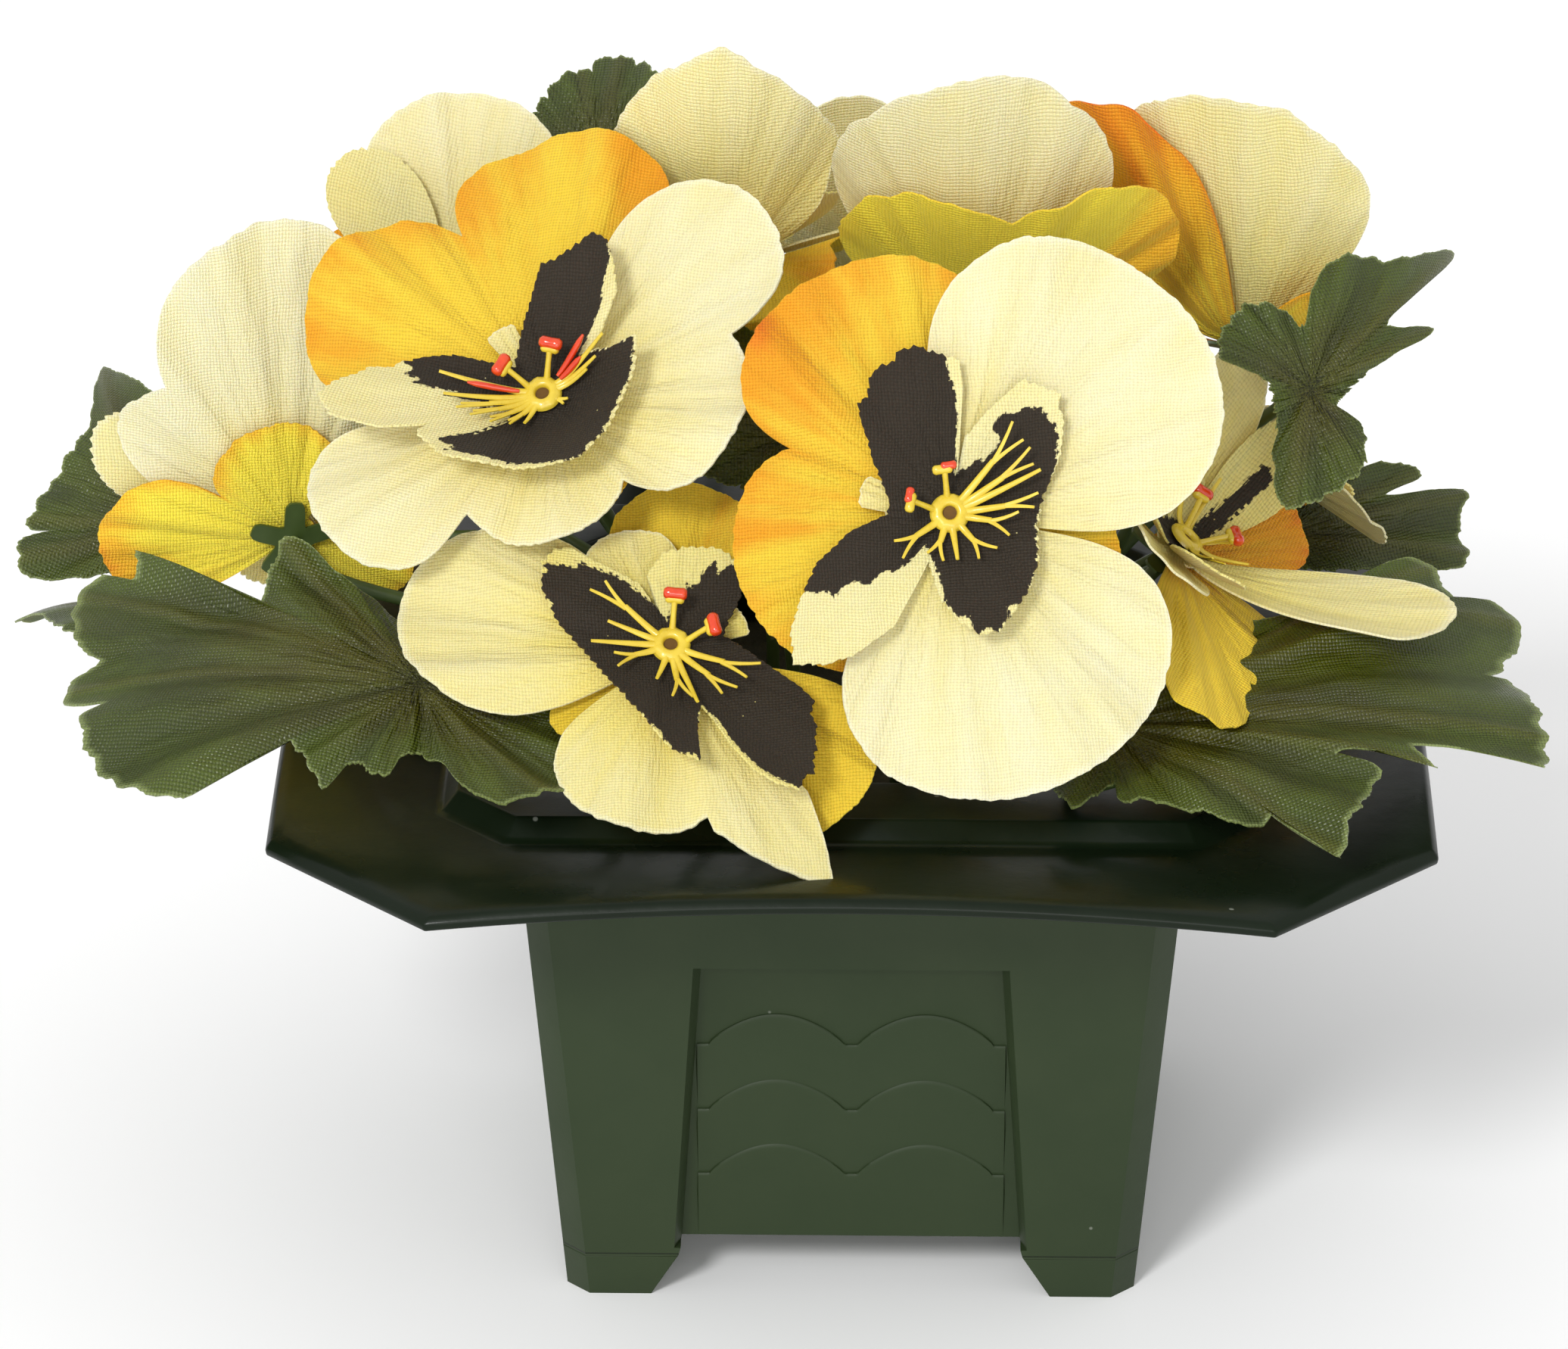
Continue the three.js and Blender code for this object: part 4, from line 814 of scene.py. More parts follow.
def cloth_finish(name, tone, pitch=PETAL_PITCH, folds=5.0, seed=0.0, fold_depth=0.0011, weave_depth=0.00022,
                 dark=0.72, roughness=0.72, sheen=0.25, soft=0.4, specular=0.3):
    """Woven cloth. tone(graph, flat, crease) gives its colour before the threads shade it."""
    finish, g, shader = new_finish(name, roughness, Specular_IOR_Level=specular, Sheen_Weight=sheen,
                                   Sheen_Roughness=0.4, Subsurface_Weight=soft, Subsurface_Scale=0.0012,
                                   Subsurface_Radius=(1.0, 0.75, 0.35))
    flat = g.attribute("flat")
    height = g.use(WEAVE, "Height", Flat=flat, Pitch=pitch)
    shade = height.also("Shade")
    crease = g.creases(flat, folds, seed)
    colour = tone(g, flat, crease)
    # painted shade: the colour darkens between the threads, where they lie low, as far as dark says
    between = g.remap(shade, 0.05, 0.75, 1.0, 0.0)
    g.put(shader["Base Color"], g.mix(between, colour, g.darker(colour, dark)))
    g.put(shader["Roughness"], shade * -0.18 + (roughness + 0.1))
    g.put(shader["Normal"], g.bump(height, 0.8, weave_depth, g.bump(crease, 0.8, fold_depth)))
    return finish


def pale_tone(cream, yellow):
    """Cream cloth that is yellower near the hub, in patches, all over where the bloom is tinted, and in the
    valleys of its creases, where the yellow is painted shade.
    """
    def tone(g, flat, crease):
        x, y, share = g.split(flat)
        near = g.remap(g.length(x, y), 6.0, 32.0, 1.0, 0.0)
        # painted shade: the cloth turns yellower in the low valleys of the pressed creases
        warm = near * 0.6 + g.cloud(flat, 16.0) * 0.18 + (0.5 - crease) * 0.8
        warm = g.math("ADD", warm, g.attribute("tint") * 0.75, clamp=True)
        return g.mix(g.remap(share, 0.955, 1.0) * 0.35, g.mix(warm, cream, yellow), PALE_RIM)
    return tone


def sunny_tone(yellow, orange, red, strength):
    """Yellow cloth with orange sprayed on in streaks, deepest along parts of the edge."""
    def tone(g, flat, crease):
        streak = g.creases(flat, 7.0, 9.0)
        spray = g.attribute("blush") + (streak - 0.5) * 1.3 + (g.cloud(flat, 10.0) - 0.5) * 0.25
        base = g.mix(g.remap(spray, 0.12, 0.95) * strength, yellow, orange)
        return g.mix(g.remap(spray, 0.95, 1.5) * strength, base, red)
    return tone


def printed_tone(cream, yellow, ink):
    """Pale cloth with a dark blotch printed on it, its edge broken up thread by thread."""
    def tone(g, flat, crease):
        x, y, _ = g.split(flat)
        streak = g.creases(flat, 16.0, 4.0)
        thread = g.random("2D", g.combine(g.floor(x / THREAD), g.floor(y / THREAD), 0.0))
        ragged = g.attribute("ink") + (streak - 0.5) * 1.8 + (thread - 0.5) * 0.5
        bare = g.specks(flat, 2.6, 0.3) * 0.7
        mask = g.math("SUBTRACT", g.remap(ragged, -0.12, 0.12), bare, clamp=True)
        tint = g.math("ADD", g.attribute("tint") * 0.8, g.cloud(flat, 8.0) * 0.3, clamp=True)
        return g.mix(mask, g.mix(tint, cream, yellow), ink)
    return tone


def leaf_tone(edge, heart, vein):
    """Green cloth, olive brown towards the middle and along the pressed ribs, darker in the valleys of its
    creases as painted shade.
    """
    def tone(g, flat, crease):
        share = g.split(flat)[2]
        rib = g.remap(g.attribute("rib"), 0.2, 2.2, 1.0, 0.0)
        inner = g.remap(share, 0.15, 0.95, 0.85, 0.0)
        base = g.mix(g.math("ADD", inner, (g.cloud(flat, 9.0) - 0.5) * 0.6, clamp=True), edge, heart)
        # painted shade: the green darkens in the low valleys of the pressed creases
        base = g.mix(g.remap(crease, 0.62, 0.35), base, g.darker(base, 0.62))
        base = g.mix(rib * 0.35, base, vein)
        return g.mix(g.remap(share, 0.965, 1.0) * 0.6, base, LEAF_RIM)
    return tone


PETAL_FORM = dict(folds=6.0, fold_depth=0.0020)
PALE = cloth_finish("pale petal cloth", pale_tone((0.76, 0.70, 0.44), (0.72, 0.60, 0.17)), **PETAL_FORM,
                    weave_depth=0.00018, dark=0.80, sheen=0.06)
PALE_UNDER = cloth_finish("pale petal underside", pale_tone((0.80, 0.75, 0.50), (0.78, 0.68, 0.26)),
                          **PETAL_FORM, seed=3.0, dark=0.84, sheen=0.06)
SUNNY = cloth_finish("orange sprayed cloth",
                     sunny_tone((0.78, 0.53, 0.035), (0.74, 0.31, 0.008), (0.66, 0.13, 0.006), 1.0),
                     folds=6.0, fold_depth=0.0024, seed=6.0, sheen=0.04)
# painted light: the underside of the back layer is lighter than its face, standing in for light that comes
# through the thin cloth
SUNNY_UNDER = cloth_finish("yellow petal underside",
                           sunny_tone((0.95, 0.74, 0.06), (0.88, 0.40, 0.015), (0.76, 0.22, 0.01), 0.8),
                           **PETAL_FORM, seed=7.0, sheen=0.04)
PRINT = cloth_finish("printed inner cloth",
                     printed_tone((0.76, 0.69, 0.38), (0.71, 0.60, 0.14), (0.024, 0.017, 0.009)),
                     seed=2.0, sheen=0.02)
PRINT_UNDER = cloth_finish("inner cloth underside", pale_tone((0.76, 0.70, 0.36), (0.72, 0.60, 0.16)))
LEAF = cloth_finish("leaf cloth",
                    leaf_tone((0.060, 0.086, 0.005), (0.056, 0.056, 0.002), (0.088, 0.085, 0.006)),
                    LEAF_PITCH, folds=4.0, fold_depth=0.0036, roughness=0.36, sheen=0.0, dark=0.42,
                    soft=0.1, specular=0.4)
LEAF_UNDER = cloth_finish("leaf underside",
                          leaf_tone((0.10, 0.13, 0.05), (0.10, 0.11, 0.035), (0.13, 0.14, 0.05)),
                          LEAF_PITCH, roughness=0.75, dark=0.75, sheen=0.0)


# Finishes of plastic and foam

def plastic_finish(name, colour, other, roughness, gloss=0.0, grain=0.00002, size=6.0,
                   specular=0.5, seam=None):
    """Moulded plastic: slightly uneven tone and gloss, faint flow ripples and a few specks of dust."""
    finish, g, shader = new_finish(name, roughness, Coat_Weight=gloss, Coat_Roughness=0.08,
                                   Specular_IOR_Level=specular)
    place = g.place_mm()
    cloud = g.cloud(place, size)
    dust = g.specks(place, 9.0, 0.35)
    g.put(shader["Base Color"], g.mix(dust * 0.45, g.mix(cloud, colour, other), DUST))
    g.put(shader["Roughness"], cloud * 0.10 + (roughness - 0.05) + dust * 0.3)
    normal = g.bump(g.noise(place, 0.35, 4.0, 0.6), 0.5, grain)
    if seam is not None:
        away = g.math("ABSOLUTE", g.split(place)[2] - seam)
        normal = g.bump(g.remap(away, 0.1, 0.4), 1.0, 0.0004, normal)
    g.put(shader["Normal"], normal)
    return finish


def foam_finish(name, colour, other):
    finish, g, shader = new_finish(name, 0.95)
    place = g.place_mm()
    g.put(shader["Base Color"], g.mix(g.cloud(place, 3.0), colour, other))
    g.put(shader["Normal"], g.bump(g.noise(place, 0.6, 6.0, 0.7), 1.0, 0.002))
    return finish


STAMEN = plastic_finish("moulded yellow plastic", (0.62, 0.44, 0.025), (0.72, 0.54, 0.045), 0.3, 0.3,
                        size=1.5)
# painted shade: dark brown plastic for the disc at the bottom of the ring's hole, which is only shaded
HOLE_SHADE = plastic_finish("shaded hole", (0.10, 0.05, 0.01), (0.14, 0.07, 0.012), 0.6, size=1.5, specular=0.2)
RED_TIP = plastic_finish("dipped red paint", (0.60, 0.030, 0.004), (0.70, 0.06, 0.008), 0.16, 0.6, size=1.2)
STEM = plastic_finish("green stem plastic", (0.040, 0.070, 0.012), (0.055, 0.090, 0.018), 0.5, size=3.0)
POT = plastic_finish("matt dark green plastic", (0.024, 0.038, 0.014), (0.020, 0.034, 0.012), 0.5,
                     grain=0.0001, size=14.0, specular=0.25, seam=SEAM_Z)
COLLAR = plastic_finish("glossy dark green plastic", (0.004, 0.008, 0.003), (0.005, 0.010, 0.004), 0.3,
                        gloss=0.05, grain=0.00008, size=12.0, specular=0.15)
FILL = foam_finish("dark moss foam", (0.020, 0.022, 0.010), (0.045, 0.042, 0.02))


# Blooms

# Each kind of stamen head is two rods: finish, length and thickness as shares, how far out, how far aside.
HEAD_STATIONS = np.array([-1.7, -1.6, -1.2, -0.6, 0, 0.6, 1.2, 1.6, 1.7])
HEAD_RADII = np.array([0.2, 0.55, 0.8, 0.78, 0.75, 0.78, 0.8, 0.55, 0.2])
HEADS = dict(bar=((STAMEN, 0.9, 0.95, 6.3, 0.0), (RED_TIP, 1.12, 1.288, 7.0, 0.0)),
             side=((STAMEN, 0.95, 0.975, 6.35, 0.3), (RED_TIP, 0.75, 0.8625, 6.75, -0.75)))
# Sections of the ring and of the dark disc of painted shade in its hole: stations along, radii, heights.
RING = ((0, 0.12, 0.3, 0.45, 0.55, 0.7, 0.9, 1), (2.0, 3.2, 2.9, 2.1, 1.5, 1.15, 1.05, 0),
        (-0.3, 0.1, 0.8, 1.2, 1.2, 0.8, -0.4, -0.5))
HOLLOW = ((0, 0.25, 0.75, 1), (0, 1.12, 1.12, 0), (-0.3, -0.3, 0.35, 0.3))
CENTRE_Z = INNER_Z + 0.95
ARM_ROOT, ARM_WIDTHS, FORK_SHARE = 2.2, (0.62, 0.5, 0.28), 0.62
TALL_STATIONS, TALL_RADII = np.array([2.4, 3.4, 4.6, 5.6, 6.3]), (0.6, 0.5, 0.45, 0.48, 0.58)
HEAD_AT, HEAD_SLOPE = 6.35, 0.75
RED_ROOT, RED_RADII = 3.6, (0.3, 0.45, 0.5, 0.55, 0.55, 0.5, 0.2)
PETAL_ROUGH, LEAF_ROUGH = 0.22, 0.3
PETAL_TEETH, LEAF_TEETH, LEAF_SCALLOPS = (1.6, 0.9), (1.6, 0.5), (7.0, 1.3)  # pitch and depth


def tongues_of(spec):
    """The rounded tongues that a plain inner layer is cut to."""
    return [(at, math.degrees(math.atan(half_width / (0.6 * reach))) * 1.1, reach, 0.25)
            for at, half_width, reach, _, _ in spec["inner"]]


def ink_level(spec, x, y):
    """How far inside the printed blotch a point lies, in millimetres."""
    if "blotch" in spec:
        return margin_inside(spec["blotch"], x, y)
    r, angle = np.hypot(x, y), np.degrees(np.arctan2(y, x))
    level = INK_HUB - r
    for lobe, (low, high, end) in zip(tongues_of(spec), spec.get("ink", PLAIN_INK)):
        s, t = along_aside(x, y, lobe[0])
        rim = petal_reach(lobe, angle) * end - r
        level = np.maximum(level, np.minimum(np.minimum(rim, s + 1), np.minimum(high - t, t - low)))
    return level


def blush_level(spec, x, y, share):
    """How heavy the orange spray is: more towards the edge, and in patches round the bloom."""
    angle = np.degrees(np.arctan2(y, x))
    side = sum(np.exp(-((wrapped(angle - at) / width) ** 2)) * amount
               for at, width, amount in spec["spray"])
    out = np.clip((share - 0.35) / 0.65, 0, 1)
    return spec["orange"] + spec["rim"] * out ** 2 + side * np.clip(share * 1.6, 0, 1)


def petal_layers(key, spec):
    """The back layer, the front layer with its inner one, and the height of the inner one."""
    back_z, front_z, inner_z = bloom_fields(spec)
    seed = ord(key)
    rays, rings = FINE_GRID if key in FINE_BLOOMS else PLAIN_GRID
    common = ruffle(seed, spec["ruffle"], (4, 7, 11))
    own = ruffle(seed + 50, 0.7, (17, 23, 31))

    def stamped(lobes, rough, tip=None):
        def reach_at(angle):
            reach = lobed(lobes, angle)
            if tip:
                reach = np.maximum(reach, tip_reach(tip, angle))
            return np.maximum(reach + np.where(reach > ROUGH_FROM, rough(angle), 0), HUB)
        return reach_at

    def layer(name, reach_at, height_at, own_share, marks, finishes, rings=rings, teeth=None):
        def height(x, y):
            return height_at(x, y) + common(x, y) + own_share * own(x, y)
        obj, x, y, share = cloth_sheet(name, spec, reach_at, height, EYELET, rays, rings, teeth)
        levels = dict(blush=lambda: blush_level(spec, x, y, share), ink=lambda: ink_level(spec, x, y),
                      tint=lambda: np.full(len(x), spec["tint"]))
        for mark in marks:
            set_attribute(obj, mark, levels[mark]())
        return thicken(dress(obj, *finishes))

    def tongue_reach(angle):
        return np.maximum(lobed(tongues_of(spec), angle), HUB)

    back_edge = stamped(spec["back"], edge_noise(seed, PETAL_ROUGH))
    back = layer(f"petals_back_{key}", back_edge, back_z, 1.0, ["blush"], (SUNNY, SUNNY_UNDER))
    front_edge = stamped(spec["front"], edge_noise(seed + 7, PETAL_ROUGH), spec.get("tip"))
    front = layer("front layer", front_edge, front_z, 0.6, ["tint"], (PALE, PALE_UNDER))
    inner_edge = cut_reach(spec["cut"]) if "cut" in spec else tongue_reach
    inner = layer("inner layer", inner_edge, inner_z, 0.0, ["ink", "tint"], (PRINT, PRINT_UNDER),
                  PRINT_RINGS if "blotch" in spec else rings, pinked(seed, *PETAL_TEETH))
    return back, join(f"petals_front_{key}", [front, inner]), inner_z


def moulded_centre(key, spec, inner_z):
    """The yellow star: a ring with tapering forked arms, and two stalks with dipped red heads."""
    up = facing(*spec["face"])[2]

    def place(r, a, z):
        return to_world(spec, r * np.cos(a), r * np.sin(a), z)

    def height(r, a):
        inner = inner_z(r * np.cos(a), r * np.sin(a))
        return np.maximum(inner + 1.0 + 0.2 * np.maximum(r - 3, 0), CENTRE_Z + 0.31)

    def turned_piece(sides, rows, section, finish, degrees, beads=0.0):
        stations, radii, lifts = section
        obj, around, along = add_grid("turned", sides, rows)
        a = around * TURN
        radius = np.interp(along, stations, radii)
        radius = radius + beads * np.cos(9 * a) * np.exp(-(((along - 0.35) / 0.12) ** 2))
        set_points(obj, place(radius, a, CENTRE_Z + np.interp(along, stations, lifts)))
        merge_seam(obj)
        smooth(obj, degrees)
        return dress(obj, finish)

    # the second turned piece is a dark disc of painted shade in the ring's hole
    pieces = [turned_piece(28, 14, RING, STAMEN, 70, 0.18), turned_piece(16, 4, HOLLOW, HOLE_SHADE, 50)]
    for at, reach, fork in spec["arms"]:
        split = reach * FORK_SHARE if fork else reach
        r = np.linspace(ARM_ROOT, split, 7)
        turn = math.radians(at) + np.radians(2.5 * np.sin(at * 3.1)) * (r / reach)
        width = np.interp(r, [ARM_ROOT, reach * 0.5, reach], ARM_WIDTHS)
        pieces.append(rod(place(r, turn, height(r, turn) + 0.25), width, STAMEN, 8, 0.7, up))
        for side in (-1, 1) if fork else ():
            r = np.linspace(split * 0.96, reach * (1 if side > 0 else 0.94), 5)
            turn = math.radians(at) + side * np.radians(fork) * (r - r[0]) / (reach - r[0])
            ends = np.linspace(0.4, 0.24, 5)
            pieces.append(rod(place(r, turn, height(r, turn) + 0.2), ends, STAMEN, 6, 0.7, up))
    for at in spec["tall"]:
        a = math.radians(at)
        tip = float(height(6.6, a)) + 2.6
        r = TALL_STATIONS
        z = np.interp(r, r[[0, -1]], [CENTRE_Z + 0.3, tip]) + 0.25 * np.sin((r - 2.4) / 3.9 * math.pi)
        pieces.append(rod(place(r, a, z), TALL_RADII, STAMEN, 10))
        for finish, grow, swell, along, aside in HEADS[spec["head"]]:
            x, y = along_aside(along, grow * HEAD_STATIONS + aside, -at)
            points = to_world(spec, x, y, tip + (along - HEAD_AT) * HEAD_SLOPE)
            pieces.append(rod(points, HEAD_RADII * swell, finish, 12))
    for at, reach in spec["red"]:
        a, r = math.radians(at), np.linspace(RED_ROOT, reach, 7)
        thread = place(r, a, height(r, a) + 0.75)
        pieces.append(rod(thread, RED_RADII, RED_TIP))
    return join(f"centre_{key}", pieces)


def bloom_stem(key, spec):
    back_z = bloom_fields(spec)[0]

    def reach_at(angle):
        straps = [strap_reach(at, 1.7, 7.5, angle) for at in range(20, 380, 72)]
        return np.maximum(np.max(straps, axis=0), 3.0)

    def under(x, y):
        return np.minimum(-0.95, back_z(x, y) - 0.95) - 0.03 * np.hypot(x, y)

    calyx = dress(cloth_sheet("calyx", spec, reach_at, under, 0.0, 60, 8)[0], STEM, STEM)
    calyx = thicken(calyx, 0.5)
    at, up = np.array(spec["at"]), facing(*spec["face"])[2]
    tube = stalk(spec["hole"], (at + up * 2.6, at), at - up * 3, -up, at - up * 4, spec["bend"], (0.35, 0),
                 (0.9, 1.1, 1.15))
    return join(f"stem_{key}", [tube, calyx])


def make_bloom(key, given):
    spec = {**PLAIN_BLOOM, **given}
    back, front, inner_z = petal_layers(key, spec)
    centre = moulded_centre(key, spec, inner_z)
    stem = bloom_stem(key, spec)
    for piece, node, slot in ((back, "back_petals", "back_petals"), (front, "front_petals", "front_petals"),
                              (centre, "stamens", "stamens"), (stem, "stem", "stem")):
        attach(piece, "root")
        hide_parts(f"bloom_{key}_{node}")


# Leaves

def leaf_fields(spec):
    size = spec["size"]

    def height(x, y):
        u, v = (w / size for w in along_aside(x, y, spec["spin"]))
        r = np.hypot(u, v)
        fold = spec["fold"] * (np.hypot(v, 4) - 4)
        ripple = 2.2 * np.sin(5 * np.arctan2(v, u) + spec["spin"]) * (r / 38) ** 2
        return size * (spec["droop"] * u * np.abs(u) / 30 + fold + ripple - 0.004 * r * r)
    return height


def leaf_corners(spec):
    """Base and corners of a blade. A leaf that has none of its own is a turned and sized copy of one."""
    if "corners" in spec:
        return spec["base"], spec["corners"]
    like = LEAVES["leaf_right_high"]
    grow = spec["size"] / like["size"]

    def moved(x, y):
        return tuple(grow * w for w in along_aside(x, y, like["spin"] - spec["spin"]))
    return moved(*like["base"]), tuple(moved(x, y) for x, y in like["corners"])


def ribs_of(reaches):
    """The directions, in whole degrees, in which an outline reaches furthest."""
    peaks = [k for k in range(360) if reaches[k] >= np.take(reaches, range(k - 5, k + 6), mode="wrap").max()
             and reaches[k] > 0.45 * reaches.max()]
    return [k for k, before in zip(peaks, [-99] + peaks) if k - before > 4]


def make_leaf(name, given):
    spec = {**PLAIN_LEAF, **given}
    size, height = spec["size"], leaf_fields(spec)
    seed = sum(map(ord, name))
    rough = edge_noise(seed, LEAF_ROUGH)
    fine_teeth, scallops = pinked(seed, *LEAF_TEETH), pinked(seed + 1, *LEAF_SCALLOPS)
    (bx, by), corners = leaf_corners(spec)
    cut = cut_reach(rounded(corners), (bx, by))
    whole = cut(np.arange(360.0))
    ribs = ribs_of(whole)
    even = np.convolve(np.tile(whole, 3), np.hanning(25) / np.hanning(25).sum(), "same")[360:720]
    raised_way, raised_from, slope = spec["raised"]

    def rib_distance(x, y):
        best = np.full(np.shape(x), 99.0)
        for rib in ribs:
            s, t = along_aside(x - bx, y - by, rib)
            best = np.minimum(best, np.where(s > 0, np.abs(t), 99.0))
        return best

    def pressed(x, y):
        r, angle = np.hypot(x - bx, y - by), np.degrees(np.arctan2(y - by, x - bx)) % 360
        local = np.interp(angle, np.arange(361), np.append(even, even[0]))
        swell = np.clip(0.14 * (local - even.mean() * 1.2), -3.0, 3.0) * (r / np.maximum(local, 12)) ** 1.5
        pleat = 1.1 * np.sin(np.radians(angle) * 17 + seed) * np.minimum(r / 45, 1) ** 1.2
        crease = 0.6 * np.exp(-((rib_distance(x, y) / 1.2) ** 2)) * np.minimum(r / 10, 1)
        beyond = along_aside(x, y, raised_way)[0] - raised_from
        return height(x, y) + size * (swell + pleat) + crease + slope * np.maximum(beyond, 0)

    rays, rings = BIG_LEAF_GRID if size > BIG_LEAF else SMALL_LEAF_GRID
    obj, x, y, _ = cloth_sheet(name + "_cloth", spec, lambda angle: cut(angle) + rough(angle), pressed, 0.0,
                               rays, rings, lambda along: fine_teeth(along) + scallops(along), (bx, by))
    set_attribute(obj, "rib", rib_distance(x, y))
    blade = thicken(dress(obj, LEAF, LEAF_UNDER))

    def below(u, drop):
        """A point under the blade, that far along the line of its stalk."""
        x, y = along_aside(u, 0, -spec["spin"])
        return to_world(spec, x, y, float(height(x, y)) - drop) - SHIFT

    if spec["middle"]:
        start, under, leave = below(0, 0.6), below(-2, 5), below(-4, 14)
    else:
        start, under, leave = below(6, 0.9), below(-14 * size, 2.2), below(-34 * size, 5.0)
    out = (leave - under) / np.linalg.norm(leave - under)
    tube = stalk(spec["hole"], (start, under), leave, out, leave, 0.3, (0.55, 8), (0.5, 0.95, 1.1))
    piece = join(name + "_cloth", [blade, tube])
    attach(piece, "root")
    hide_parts(name)


for key, spec in BLOOMS.items():
    make_bloom(key, spec)
for name, spec in LEAVES.items():
    make_leaf(name, spec)


# Pot

POT_FOOT_HALF, POT_RIM_HALF, POT_RIM_Z = 47.0, 54.05, 86.0
POT_CHAMFER, POT_WALL = 3.85, 2.4
PANEL_TOP_Z, PANEL_TOP_HALF, PANEL_LOW_HALF = 61.6, 24.4, 27.9
PANEL_DEPTH, PANEL_DRAFT = 3.9, 1.5
FLOOR_UNDER, FLOOR_TOP = 9.5, 12.0
# Gaps between the feet, in two steps, each from one height and half width to another.
FOOT_GAPS = (((-1, 33.6), (7.6, 28.4)), ((7.59, 28.4), (FLOOR_UNDER, 27.9)))
WAVE_ROW_Z, WAVE_RISE, WAVE_STEP, WAVE_BACK = (46.6, 34.1, 21.7), 5.7, 0.4, 12.0
WAVE_MIDDLE, WAVE_HALF, WAVE_SPAN = 12.2, 11.0, 25.6
# Section of a row of waves: depth from the face of the panel, and share of its height.
WAVE_SECTION = np.array([
    (0.5, 1.0), (-WAVE_STEP * 0.35, 1.0), (-WAVE_STEP * 0.85, 0.985), (-WAVE_STEP, 0.96),
    (-WAVE_STEP * 0.97, 0.90), (-0.01, 0.0), (0.5, 0.0), (0.5, 0.5),
])


def half_at(z):
    return POT_FOOT_HALF + (POT_RIM_HALF - POT_FOOT_HALF) * z / POT_RIM_Z


def octagon(half, cut, z):
    i = half - cut
    return [(half, -i, z), (half, i, z), (i, half, z), (-i, half, z),
            (-half, i, z), (-half, -i, z), (-i, -half, z), (i, -half, z)]


def block(z, half, near, far):
    """The low or high ring of a block on the front face."""
    return [(-half, near, z), (half, near, z), (half, far, z), (-half, far, z)]


def turned(points, quarter):
    for _ in range(quarter):
        points = [(-y, x, z) for x, y, z in points]
    return points


def solid_of(points):
    """A prism with the given low and high rings, begun as a cylinder with as many sides."""
    sides = len(points) // 2
    deselect()
    bpy.ops.mesh.primitive_cylinder_add(vertices=sides, radius=1, depth=2, location=(0, 0, 0))
    obj = bpy.context.object
    rings = []
    for ring in (points[:sides], points[sides:]):
        x, y = np.mean(ring, axis=0)[:2]
        rings.append(sorted(ring, key=lambda p: math.atan2(p[1] - y, p[0] - x) % TURN))
    for vert in obj.data.vertices:
        turn = math.atan2(vert.co.y, vert.co.x) % TURN
        vert.co = rings[vert.co.z > 0][round(turn / (TURN / sides) - 0.01) % sides]
    obj.data.update()
    face_out(obj)
    return obj


def cut_away(body, cutter):
    apply_modifier(body, "BOOLEAN", operation="DIFFERENCE", solver="EXACT", object=cutter)
    bpy.data.objects.remove(cutter, do_unlink=True)


def soften(obj, width, degrees):
    apply_modifier(obj, "BEVEL", width=width * MM, segments=3, limit_method="ANGLE",
                   angle_limit=math.radians(degrees))


def wave_height(x):
    """The upper edge of a row of waves: two round arcs with flats between and beside them."""
    t = np.abs(np.abs(x) - WAVE_MIDDLE) / WAVE_HALF
    arc = np.sqrt(np.maximum(1 - t ** 2, 0)) * 0.35 + np.cos(math.pi / 2 * np.minimum(t, 1)) * 0.65
    return WAVE_RISE * arc


def wave_row(z_flat, quarter):
    """One raised row of waves in the panel: a closed strip whose section steps out and leans back down."""
    loop = len(WAVE_SECTION)
    obj, around, along = add_grid("wave row", loop, 110)
    x = (along * 2 - 1) * WAVE_SPAN
    low = z_flat - WAVE_BACK
    depth, share = WAVE_SECTION[np.rint(around * loop).astype(int) % loop].T
    closing = (along < 1e-6) | (along > 1 - 1e-6)
    depth = np.where(closing, 0.4, depth)
    z = np.where(closing, low + 5.0, low + (z_flat + wave_height(x) - low) * share)
    y = -(half_at(z) - PANEL_DEPTH) + depth
    for _ in range(quarter):
        x, y = -y, x
    set_points(obj, np.stack([x, y, z], axis=-1) + SHIFT)
    merge_seam(obj)
    face_out(obj)
    smooth(obj, 40)
    return obj


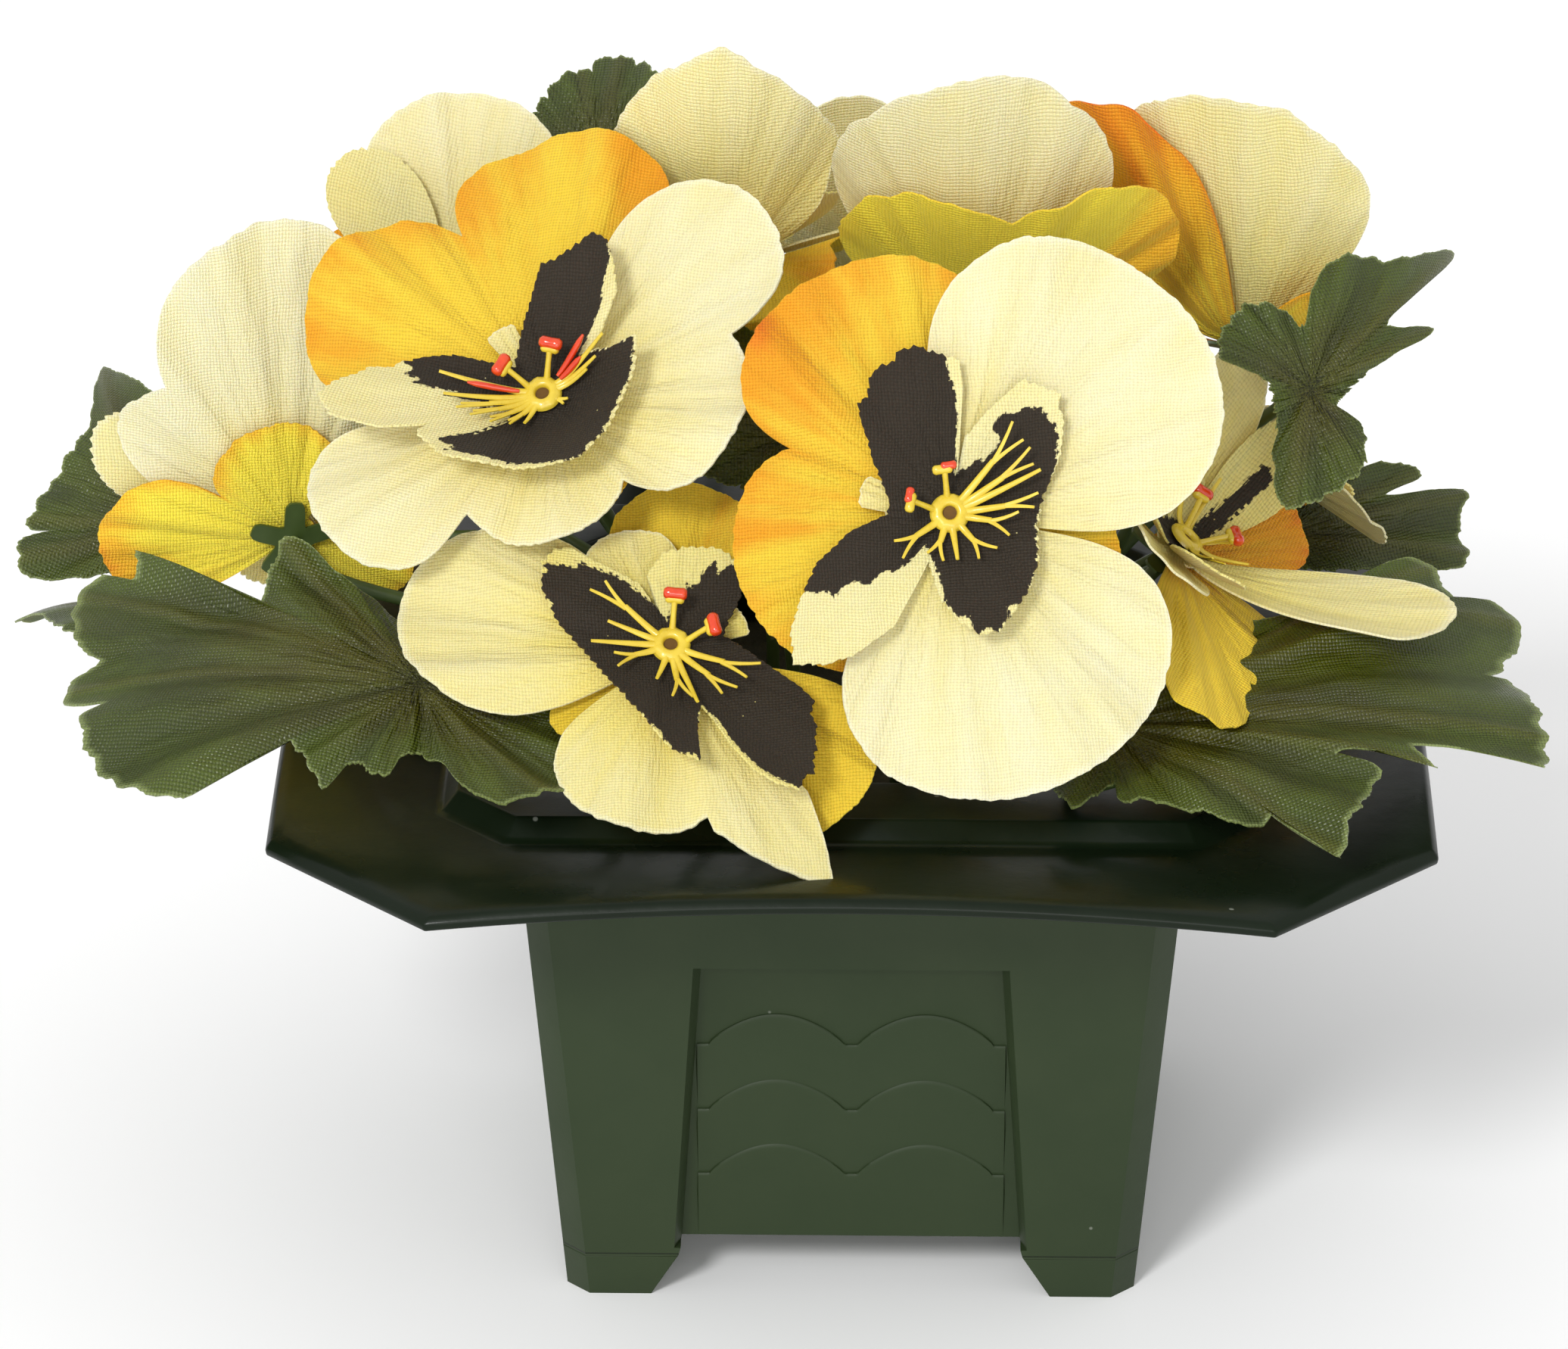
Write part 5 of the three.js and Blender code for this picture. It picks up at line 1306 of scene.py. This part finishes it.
def make_pot():
    body = solid_of(octagon(POT_FOOT_HALF, POT_CHAMFER, 0) + octagon(POT_RIM_HALF, POT_CHAMFER, POT_RIM_Z))
    room = solid_of([p for z in (FLOOR_TOP, POT_RIM_Z + 1)
                     for p in octagon(half_at(z) - POT_WALL, POT_CHAMFER - 0.8, z)])
    deep = PANEL_DEPTH + POT_WALL
    low_z, high_z = FLOOR_UNDER + 0.5, PANEL_TOP_Z + POT_WALL
    for quarter in range(4):
        step = [block(z, half + POT_WALL, -half_at(z) - 1.0, -half_at(z) + deep)
                for z, half in ((low_z, PANEL_LOW_HALF), (high_z, PANEL_TOP_HALF))]
        cut_away(room, solid_of(turned(step[0] + step[1], quarter)))
    cut_away(body, room)
    for quarter in range(4):
        panel = []
        for z, half, draft in ((FLOOR_UNDER - 0.5, PANEL_LOW_HALF, 0),
                               (PANEL_TOP_Z, PANEL_TOP_HALF, PANEL_DRAFT)):
            wide, out, deep_y = half + PANEL_DRAFT, -half_at(z + draft) - 1.0, -(half_at(z) - PANEL_DEPTH)
            panel += [(-wide, out, z + draft), (wide, out, z + draft), (half, deep_y, z), (-half, deep_y, z)]
        cut_away(body, solid_of(turned(panel, quarter)))
    reach = POT_RIM_HALF + 10
    for quarter in range(2):
        for (z0, h0), (z1, h1) in FOOT_GAPS:
            gap = block(z0, h0, -reach, reach) + block(z1, h1, -reach, reach)
            cut_away(body, solid_of(turned(gap, quarter)))
    for vert in body.data.vertices:
        vert.co = (vert.co + Vector(SHIFT)) * MM
    body.data.update()
    merge_seam(body, 1e-5)
    soften(body, 0.55, 24)
    smooth(body, 35)
    rows = [wave_row(z, quarter) for z in WAVE_ROW_Z for quarter in range(4)]
    pot = join("pot_moulded", [body] + rows)
    dress(pot, POT)
    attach(pot, "root")
    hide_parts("pot")


# Collar

RIM, RIM_CUT = 66.0, 10.8
PLATE, PLATE_CUT, LIP_Z, LIP_ARCH = 93.0, 26.7, 89.2, 3.5
COLLAR_PROFILE = np.array([
    (47.2, 6, 81.2, 0), (48.0, 6, 93.8, 0), (49.4, 6.5, 95.0, 0), (RIM - 3.0, RIM_CUT - 1, 95.0, 0),
    (RIM - 0.6, RIM_CUT, 92.1, 0), (RIM + 0.4, RIM_CUT + 0.3, 91.6, 0.05),
    (PLATE - 3.0, PLATE_CUT - 1, LIP_Z + 2.9, 0.9), (PLATE - 0.9, PLATE_CUT, LIP_Z + 2.3, 1),
    (PLATE, PLATE_CUT, LIP_Z + 1.2, 1), (PLATE - 0.2, PLATE_CUT, LIP_Z, 1),
    (PLATE - 2.0, PLATE_CUT - 0.6, LIP_Z, 1), (PLATE - 2.4, PLATE_CUT - 0.8, LIP_Z + 0.7, 1),
    (RIM + 1.0, RIM_CUT + 1, 88.6, 0.05), (54.45, 4.2, 86.35, 0), (51.05, 3.4, 86.35, 0),
    (50.2, 3.4, 84.5, 0), (49.2, 3.4, 81.2, 0),
])


def make_collar():
    """A square ring swept from its section: half width, cut corner, height, and share of the lip's arch."""
    long_steps, cut_steps = 24, 6
    columns = 4 * (long_steps + cut_steps)
    obj, around, across = add_grid("collar_moulded", columns, len(COLLAR_PROFILE))
    step = np.rint(around * columns).astype(int) % columns
    side, within = np.divmod(step, long_steps + cut_steps)
    long = within < long_steps
    share = np.where(long, within / long_steps, (within - long_steps) / cut_steps)
    row = np.rint(across * len(COLLAR_PROFILE)).astype(int) % len(COLLAR_PROFILE)
    half, chamfer, z, arch = COLLAR_PROFILE[row].T
    i = half - chamfer
    x = np.where(long, half, half - chamfer * share)
    y = np.where(long, -i + 2 * i * share, i + chamfer * share)
    z = z + np.where(long, arch * LIP_ARCH * (1 - (2 * share - 1) ** 2), 0)
    turn = side * (math.pi / 2)
    points = np.stack([x * np.cos(turn) - y * np.sin(turn), x * np.sin(turn) + y * np.cos(turn), z], axis=-1)
    set_points(obj, points + SHIFT)
    merge_seam(obj)
    face_out(obj)
    soften(obj, 0.5, 20)
    smooth(obj, 30)
    dress(obj, COLLAR)
    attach(obj, "root")
    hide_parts("collar")


make_pot()
make_collar()
dress(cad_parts["fill"], FILL)


# Studio

def make_floor():
    deselect()
    bpy.ops.mesh.primitive_plane_add(size=8, location=(0, 0, 0))
    floor = bpy.context.object
    floor.name = "floor"
    finish, g, shader = new_finish("pale floor", 0.9)
    cloud = g.cloud(g.node("TexCoord", output="Object"), 0.4)
    g.put(shader["Base Color"], g.mix(cloud, (0.955, 0.955, 0.955), (0.97, 0.97, 0.97)))
    dress(floor, finish)


def add_light(name, kind, place, target, power, **settings):
    light = bpy.data.lights.new(name, kind)
    light.energy = power
    for key, value in settings.items():
        setattr(light, key, value)
    obj = bpy.data.objects.new(name, light)
    obj.location = place
    obj.rotation_euler = (Vector(target) - Vector(place)).to_track_quat("-Z", "Y").to_euler()
    bpy.context.collection.objects.link(obj)


def set_studio():
    world = bpy.data.worlds.new("studio")
    world.use_nodes = True
    background = world.node_tree.nodes["Background"].inputs
    background["Color"].default_value = (1, 1, 1, 1)
    background["Strength"].default_value = 0.8
    scene = bpy.context.scene
    scene.world = world
    scene.view_settings.view_transform = "Standard"
    scene.view_settings.look = "None"
    add_light("key", "SUN", (-0.7, -1.5, 1.2), (0, 0, 0), 1.75, angle=math.radians(14))
    add_light("front", "AREA", (0.1, -1.5, 0.5), (0, 0, 0.1), 5, shape="RECTANGLE", size=0.9, size_y=0.5)


def set_camera():
    camera = bpy.data.cameras.new("view")
    camera.lens = 175.24
    camera.sensor_width = 36.0
    camera.sensor_fit = "HORIZONTAL"
    camera.clip_start = 0.05
    camera.clip_end = 30
    obj = bpy.data.objects.new("view", camera)
    obj.location = (0.023451, -1.161004, 0.617066)
    obj.rotation_euler = (math.radians(90 - 24.477), 0, math.radians(0.9946))
    bpy.context.collection.objects.link(obj)
    bpy.context.scene.camera = obj


make_floor()
set_studio()
set_camera()

deselect()
